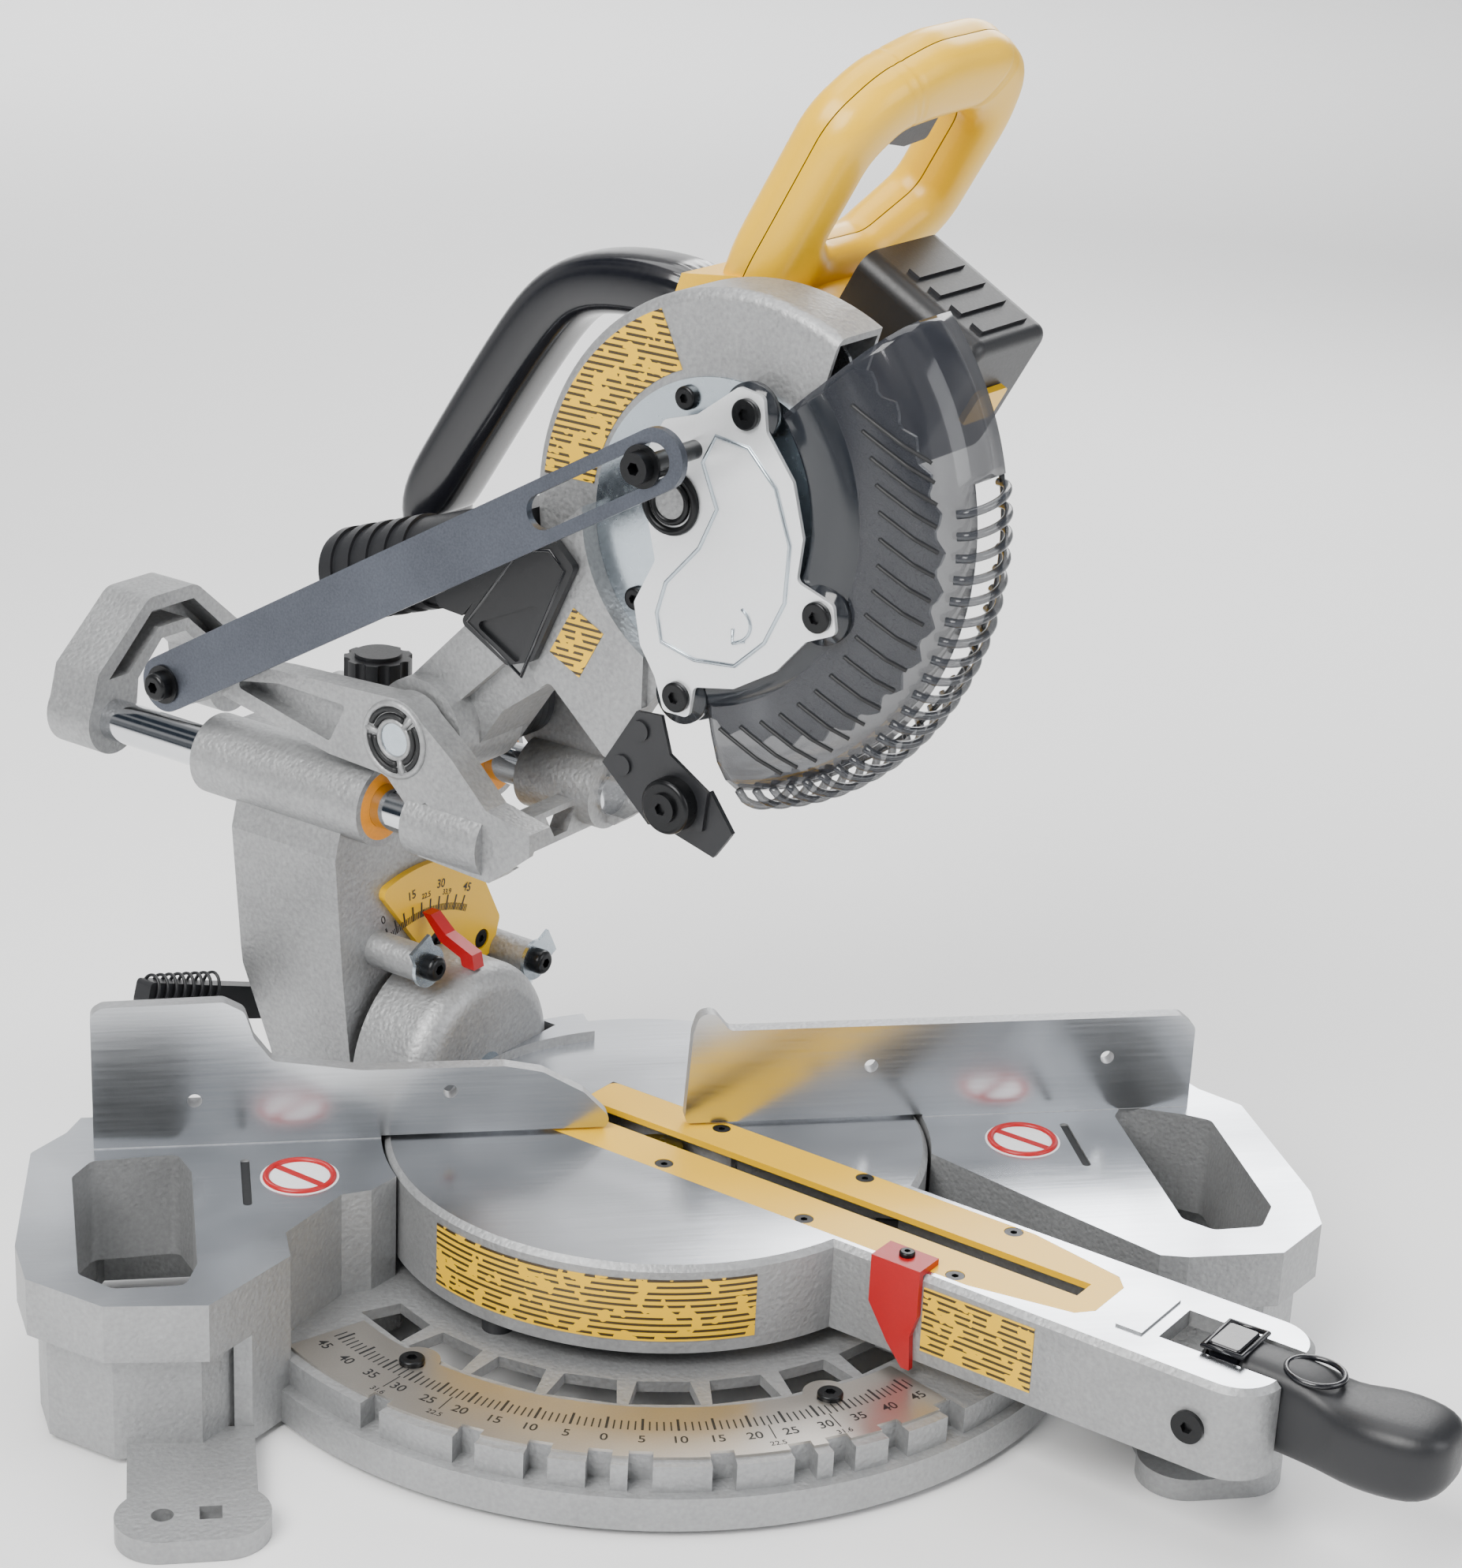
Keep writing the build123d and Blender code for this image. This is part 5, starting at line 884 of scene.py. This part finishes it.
@dataclass
class Head:
    """Cast head, motor, D-handle, battery, dust spout and blade."""

    shop: Shop
    foot: tuple = (6.0, 462.0)
    lean: float = 61.1
    centre: tuple = (94.0, 50.0)
    rays: int = 240
    around: int = 40
    outer: tuple = ((36, -30), (24, 4), (24, 84), (44, 104), (78, 116), (124, 118), (150, 104),
                    (158, 76), (156, 20), (118, -26), (98, -34))
    inner: tuple = ((55, 30), (55, 66), (66, 79), (118, 83), (133, 73), (133, 34), (108, 15),
                    (74, 15))
    half_depth: float = 15.5
    fullness: float = 0.72
    line_depth: float = 0.45
    seam_set_back: float = 0.7

    def grip_point(self, right: float, along: float, depth: float) -> Vector:
        """Point in the D-handle's own plane.

        Args:
            right: To the operator's right of the blade.
            along: Up the lean of the handle.
            depth: Towards the front face.

        Returns:
            The point in metres.
        """
        lean = math.radians(self.lean)
        forward = self.foot[0] + along * math.cos(lean) + depth * math.sin(lean)
        height = self.foot[1] + along * math.sin(lean) - depth * math.cos(lean)
        return arm(forward, right, height)

    def outline_radii(self, corners: tuple, soften: int) -> list[float]:
        """Distance from the loop's centre to an outline, ray by ray, with rounded corners.

        Args:
            corners: Corner points of the outline.
            soften: How many rays each side are averaged.

        Returns:
            One distance per ray.
        """
        cx, cy = self.centre
        raw = []
        for i in range(self.rays):
            turn = 2 * math.pi * i / self.rays
            dx, dy = math.cos(turn), math.sin(turn)
            best = 0.0
            for (x1, y1), (x2, y2) in zip(corners, corners[1:] + corners[:1]):
                ex, ey = x2 - x1, y2 - y1
                det = dx * -ey + dy * ex
                if abs(det) < 1e-9:
                    continue
                t = ((x1 - cx) * -ey + (y1 - cy) * ex) / det
                s = (dx * (y1 - cy) - dy * (x1 - cx)) / det
                if t > 0 and -1e-6 <= s <= 1 + 1e-6:
                    best = max(best, t)
            raw.append(best)
        return [sum(raw[(i + k) % self.rays] for k in range(-soften, soften + 1)) / (2 * soften + 1)
                for i in range(self.rays)]

    def handle(self) -> None:
        """Model the D-handle as a rounded loop with its mould seam and grip lines."""
        outer = self.outline_radii(self.outer, 5)
        inner = self.outline_radii(self.inner, 5)
        cx, cy = self.centre
        halves: dict[int, tuple[list, list]] = {1: ([], []), -1: ([], [])}
        half_count = self.around // 2 + 1
        for sign, (points, faces) in halves.items():
            for i in range(self.rays):
                turn = 2 * math.pi * i / self.rays
                dx, dy = math.cos(turn), math.sin(turn)
                middle = (outer[i] + inner[i]) / 2
                wide = (outer[i] - inner[i]) / 2
                shrink = self.line_depth if i in self.grip_lines() else 0.0
                for j in range(half_count):
                    phase = math.pi * j / (half_count - 1)
                    cos, sin = math.cos(phase), math.sin(phase)
                    reach = (wide - shrink) * math.copysign(abs(cos) ** self.fullness, cos)
                    depth = max(0.25, (self.half_depth - shrink) * abs(sin) ** self.fullness)
                    if j in (0, half_count - 1):
                        reach -= math.copysign(self.seam_set_back, cos)
                    points.append(self.grip_point(cx + dx * (middle + reach),
                                                  cy + dy * (middle + reach),
                                                  sign * depth))
            for i in range(self.rays):
                for j in range(half_count - 1):
                    a, b = i * half_count + j, i * half_count + j + 1
                    c = (i + 1) % self.rays * half_count + j + 1
                    d = (i + 1) % self.rays * half_count + j
                    faces.append([a, b, c, d] if sign > 0 else [d, c, b, a])
        for sign, name, node in ((1, "grip_front", "handle_front_half"),
                                 (-1, "grip_rear", "handle_rear_half")):
            piece = self.shop.mesh(name, *halves[sign], "head", "yellow_plastic", YELLOW)
            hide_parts(node)

    def grip_lines(self) -> set[int]:
        """Rays that carry the fine lines at the ends of the grip."""
        return {round(self.rays * degrees / 360) for degrees in (58, 62, 122, 126)}

    def neck(self) -> None:
        """Blend the handle's foot into the motor housing with a lofted neck."""
        rings = []
        for along, left, right, near, far in ((-46, 26, 100, -30, 22), (-34, 27, 112, -24, 20),
                                              (-18, 27, 130, -19, 18), (0, 30, 140, -15, 14)):
            rings.append([self.grip_point((left + right) / 2 + (right - left) / 2 * x, along,
                                          (near + far) / 2 + (far - near) / 2 * y)
                          for x, y in rounded(32, 0.6, 0.6)])
        self.shop.loft("handle_neck", rings, "head", "yellow_plastic", YELLOW)

    def carry_bar(self) -> None:
        """Model the carrying bar as a rounded sweep."""
        path = [(-16, 449), (-40, 452), (-66, 451), (-86, 446), (-101, 434), (-116, 414),
                (-136, 384), (-154, 356), (-168, 334), (-168, 324), (-160, 320)]
        rings = []
        for i, (u, z) in enumerate(path):
            ahead = path[min(i + 1, len(path) - 1)]
            behind = path[max(i - 1, 0)]
            run = math.hypot(ahead[0] - behind[0], ahead[1] - behind[1])
            nu, nz = -(ahead[1] - behind[1]) / run, (ahead[0] - behind[0]) / run
            thick = 15.0 if i > 3 else 14.0
            if i == len(path) - 1:
                thick *= 0.6
            rings.append([arm(u + nu * thick * y, 42 + 16 * x, z + nz * thick * y)
                          for x, y in rounded(32, 0.62, 0.62)])
        bar = self.shop.loft("carrying_bar", rings, "head", "gloss_black", GLOSS_BLACK)
        smooth = bar.modifiers.new("round", "SUBSURF")
        smooth.levels = smooth.render_levels = 2
        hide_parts("carry_handle")

    def chute_rim(self) -> None:
        """Add the chute's raised rim."""
        corners = ((-88, 309), (-58, 291), (-36, 343), (-44, 350), (-60, 347))
        rim = [arm(u, -32.2, z) for u, z in corners]
        self.shop.tubes("chute_rim", [rim], 1.0 * MM, "head", "black_plastic", GLOSS_BLACK,
                        closed=True)

    def build(self) -> None:
        """Make everything on the head."""
        self.shop.dress_nodes({
            "head_casting": CAST, "guard_cover_plate": ZINC, "cover_plate_screws": OXIDE,
            "motor_housing": YELLOW, "motor_can": BLACK, "battery_pack": BLACK,
            "battery_latch": YELLOW, "handle_front_half": YELLOW, "handle_rear_half": YELLOW,
            "trigger": BLACK, "carry_handle": GLOSS_BLACK, "dust_tube": BLACK, "dust_chute": BLACK,
            "deflector_plate": BLACK, "guard_roller": OXIDE, "head_labels": PrintedLabel(),
            "saw_blade": BLADE, "blade_spindle": ZINC})
        self.handle()
        self.neck()
        self.carry_bar()
        self.chute_rim()


@dataclass
class LowerGuard:
    """Clear swinging guard with its slots, coil-like fins and silver hub plate."""

    shop: Shop
    pivot: tuple = (15.0, 382.6)
    start: float = -78.0
    end: float = 42.0
    fin_end: float = 12.0
    lugs: tuple = ((50.6, 425.7), (89.1, 349.7), (21.9, 300.0))
    profile: tuple = ((66, 24.2), (84, 24.4), (87, 23.4), (100, 23.0), (112, 21.6), (121, 17.5),
                      (127, 11.0), (129.6, 3.0), (130.0, -8.0), (130.0, -19.6))
    wall: float = 2.0
    slot_count: int = 18
    slot_step: float = 6.4
    slot_lean: float = -27.0
    slot_inner: float = 97.0
    slot_outer: float = 121.0
    fin_count: int = 22
    fin_step: float = 4.0
    fin_sweep: float = 3.0
    fin_root: float = 126.5
    fin_bulge: float = 10.6

    def spot(self, angle: float, radius: float, left: float) -> Vector:
        """Point of the guard in polar form round its pivot."""
        turn = math.radians(angle)
        return arm(self.pivot[0] + radius * math.cos(turn), -left,
                   self.pivot[1] + radius * math.sin(turn))

    def shell(self) -> None:
        """Model the clear shell as a turned profile."""
        steps = 72
        sweep = self.end - self.start
        count = len(self.profile)
        points = [self.spot(self.start + sweep * i / steps, radius, left)
                  for i in range(steps + 1) for radius, left in self.profile]
        used = []
        for i in range(steps):
            middle = self.start + sweep * (i + 0.5) / steps
            # the rim is open between the fins
            used.append(count - 3 if self.start + 3 < middle < self.fin_end else count - 1)
        faces = strip_faces(count, used)
        shell = self.shop.mesh("clear_guard", points, faces, "guard", "smoke_clear", ClearPlastic())
        thick = shell.modifiers.new("wall", "SOLIDIFY")
        thick.thickness = self.wall * MM
        thick.offset = -1.0
        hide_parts("lower_guard_shell")

    def collar(self) -> None:
        """Raise the dark collar, its three screw lugs and the far edge of the rim."""
        section = ((66, 23.6), (66.4, 25.6), (68, 26.4), (80, 26.4), (84.5, 25.6), (88, 23.2))
        steps = 64
        points = [self.spot(self.start + 2 + (self.end - self.start - 4) * i / steps, radius, left)
                  for i in range(steps + 1) for radius, left in section]
        faces = strip_faces(len(section), [len(section) - 1] * steps)
        dark = ClearPlastic("smoked_collar", "26292e", 0.86)
        self.shop.mesh("guard_collar", points, faces, "guard", "smoke_clear", dark)
        lugs = [[arm(u, -23.5, z), arm(u, -26.8, z)] for u, z in self.lugs]
        self.shop.tubes("guard_lugs", lugs, 12.5 * MM, "guard", "smoke_clear", dark, sides=40)
        edge = [self.spot(self.start + (self.fin_end - self.start) * i / 40, 128.6, -18.6)
                for i in range(41)]
        self.shop.tubes("guard_far_edge", [edge], 1.2 * MM, "guard", "smoke_clear", dark)

    def surface(self, radius: float) -> float:
        """Leftward height of the shell at a radius, from its turned profile."""
        for (r1, s1), (r2, s2) in zip(self.profile, self.profile[1:]):
            if r1 <= radius <= r2:
                return s1 + (s2 - s1) * (radius - r1) / (r2 - r1)
        return self.profile[-1][1]

    def slots_and_fins(self) -> None:
        """Lay dark strokes of painted shade where the shoulder is slotted, and coil-like fins round
        the rim.
        """
        # painted shade: a dark stroke along each slot stands in for the shade seen in it
        slots = []
        lean = math.radians(self.slot_lean)
        for i in range(self.slot_count):
            start = math.radians(self.start + 3 + self.slot_step * i)
            x, y = self.slot_inner * math.cos(start), self.slot_inner * math.sin(start)
            path = []
            for k in range(60):
                px, py = x + math.cos(lean) * k, y + math.sin(lean) * k
                radius, angle = math.hypot(px, py), math.degrees(math.atan2(py, px))
                if radius > self.slot_outer or angle < self.start + 1:
                    break
                path.append(self.spot(angle, radius, self.surface(radius) + 0.3))
            if len(path) > 3:
                slots.append(path)
        self.shop.tubes("guard_slot_shade", slots, 0.9 * MM, "guard", "black_screw", INK_AND_SHADE, sides=6)
        fins = []
        for i in range(self.fin_count):
            angle = self.start + 1.5 + self.fin_step * i
            path = []
            for k in range(15):
                part = k / 14
                bulge = math.sin(math.pi * part)
                path.append(self.spot(angle + self.fin_sweep * part,
                                      self.fin_root + self.fin_bulge * bulge ** 0.55,
                                      13.5 - 33 * part))
            fins.append(path)
        self.shop.tubes("guard_coils", fins, 1.8 * MM, "guard", "smoke_clear",
                        ClearPlastic("smoked_fin", "34373d", 0.62), sides=12)

    def hub_relief(self) -> None:
        """Raise the contour and the turning arrow on the hub plate."""
        contour = [(13, 322), (30, 318), (50, 320), (64, 333), (73, 352), (74, 376), (66, 398),
                   (52, 412), (36, 414), (30, 402), (38, 384), (30, 366), (14, 348), (10, 334)]
        paths = [[arm(u, -29.1, z) for u, z in contour]]
        arrow = []
        for i in range(12):
            a = math.radians(-70 + 120 * i / 11)
            arrow.append(arm(44 + 13 * math.cos(a), -29.2, 338 + 9 * math.sin(a)))
        self.shop.tubes("hub_contour", paths, 0.9 * MM, "guard", "zinc_steel", ZINC, closed=True)
        tip = arrow[0]
        self.shop.tubes("hub_arrow", [arrow, [tip + Vector((0, 0, 6)) * MM, tip,
                                              tip + ARM_FORWARD * 6 * MM + UP * 2 * MM]], 0.7 * MM,
                        "guard", "zinc_steel", ZINC)
        for name, radius, bar in (("hub_washer_outer", 12.5, 1.8), ("hub_washer_inner", 8.5, 1.5)):
            ring = [self.spot(360 * i / 48, radius, 29.6) for i in range(48)]
            self.shop.tubes(name, [ring], bar * MM, "guard", "black_screw", OXIDE, closed=True)

    def build(self) -> None:
        """Make everything on the lower guard."""
        self.shop.dress_nodes({"lower_guard_shell": ClearPlastic(), "guard_hub_plate": SATIN,
                               "guard_screws": OXIDE, "link_front_screw": OXIDE})
        self.shell()
        self.collar()
        self.slots_and_fins()
        self.hub_relief()


@dataclass
class Studio:
    """Pale floor, soft lights and the camera."""

    azimuth: float = -10.7244
    elevation: float = 20.9607
    roll: float = 2.6817
    place: tuple = (-0.21565, -1.27744, 0.74460)
    lens: float = 73.81

    def floor(self, palette: Palette) -> None:
        """Lay a pale floor that curves up far behind."""
        points = []
        faces = []
        rows = [(-6.0, 0.0), (6.0, 0.0), (7.5, 0.4), (8.2, 1.6), (8.4, 5.0)]
        for y, z in rows:
            points += [(-9.0, y, z - 0.0002), (9.0, y, z - 0.0002)]
        for i in range(len(rows) - 1):
            faces.append([2 * i, 2 * i + 1, 2 * i + 3, 2 * i + 2])
        data = bpy.data.meshes.new("floor")
        data.from_pydata(points, [], faces)
        thing = bpy.data.objects.new("floor", data)
        bpy.context.scene.collection.objects.link(thing)
        palette.dress(thing, Finish("matt_paper_sweep", "f4f4f4", Way.MOULDED, 0.85, 0.0, 3.0, 0.01,
                                    0.005))

    def lights(self) -> None:
        """Hang large soft lights and give metals a graded room to mirror."""
        for name, spot, size, power, colour in (
                ("key", (-1.3, -1.3, 2.0), 1.5, 95, (1.0, 0.99, 0.97)),
                ("fill", (1.8, -1.2, 1.2), 1.4, 22, (0.97, 0.98, 1.0)),
                ("top", (0.0, 0.5, 2.4), 1.8, 38, (1.0, 1.0, 1.0)),
                ("rim", (0.9, 1.6, 1.3), 1.0, 22, (1.0, 1.0, 1.0)),
                ("sweep", (0.0, 3.6, 3.2), 3.0, 260, (1.0, 1.0, 1.0))):
            lamp = bpy.data.lights.new(name, "AREA")
            lamp.size = size
            lamp.energy = power
            lamp.color = colour
            thing = bpy.data.objects.new(name, lamp)
            thing.location = spot
            goal = Vector((0, 7.5, 0.2)) if name == "sweep" else Vector((0, 0, 0.2))
            aim = goal - Vector(spot)
            thing.rotation_euler = aim.to_track_quat("-Z", "Y").to_euler()
            bpy.context.scene.collection.objects.link(thing)
        world = bpy.data.worlds.new("studio")
        world.use_nodes = True
        bpy.context.scene.world = world
        tree = world.node_tree
        back = tree.nodes["Background"]
        place = put(tree, "ShaderNodeTexCoord").outputs["Generated"]
        patches = put(tree, "ShaderNodeTexNoise", {"Scale": 1.6, "Detail": 1.0}, {"Vector": place})
        ramp = put(tree, "ShaderNodeValToRGB", links={"Fac": patches.outputs["Fac"]})
        ramp.color_ramp.elements[0].position = 0.36
        ramp.color_ramp.elements[1].position = 0.52
        ramp.color_ramp.elements[0].color = linear("3c4550")
        ramp.color_ramp.elements[1].color = linear("ffffff")
        tree.links.new(ramp.outputs["Color"], back.inputs["Color"])
        back.inputs["Strength"].default_value = 0.7

    def camera(self) -> None:
        """Set the camera."""
        turn, rise, roll = (math.radians(a) for a in (self.azimuth, self.elevation, self.roll))
        back = Vector((math.sin(turn) * math.cos(rise), -math.cos(turn) * math.cos(rise),
                       math.sin(rise)))
        right = (-back).cross(UP).normalized()
        up = right.cross(-back)
        tilted_right = right * math.cos(roll) + up * math.sin(roll)
        tilted_up = up * math.cos(roll) - right * math.sin(roll)
        data = bpy.data.cameras.new("camera")
        data.lens = self.lens
        data.sensor_width = 36.0
        data.sensor_fit = "AUTO"
        data.clip_start = 0.05
        data.clip_end = 60.0
        thing = bpy.data.objects.new("camera", data)
        spin = Matrix((tilted_right, tilted_up, back)).transposed().to_4x4()
        thing.matrix_world = Matrix.Translation(Vector(self.place)) @ spin
        bpy.context.scene.collection.objects.link(thing)
        bpy.context.scene.camera = thing


def main(frame: dict) -> None:
    logging.basicConfig(level=logging.INFO, format="%(name)s: %(message)s")
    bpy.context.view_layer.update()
    shop = Shop(frame, Palette())
    for kind in (Base, Table, Trunk, Carriage, Head, LowerGuard):
        part = kind(shop)
        part.build()
        log.info("built %s", type(part).__name__)
    studio = Studio()
    studio.floor(shop.palette)
    studio.lights()
    studio.camera()
    bpy.context.view_layer.update()


if __name__ == "__main__":
    main(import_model())
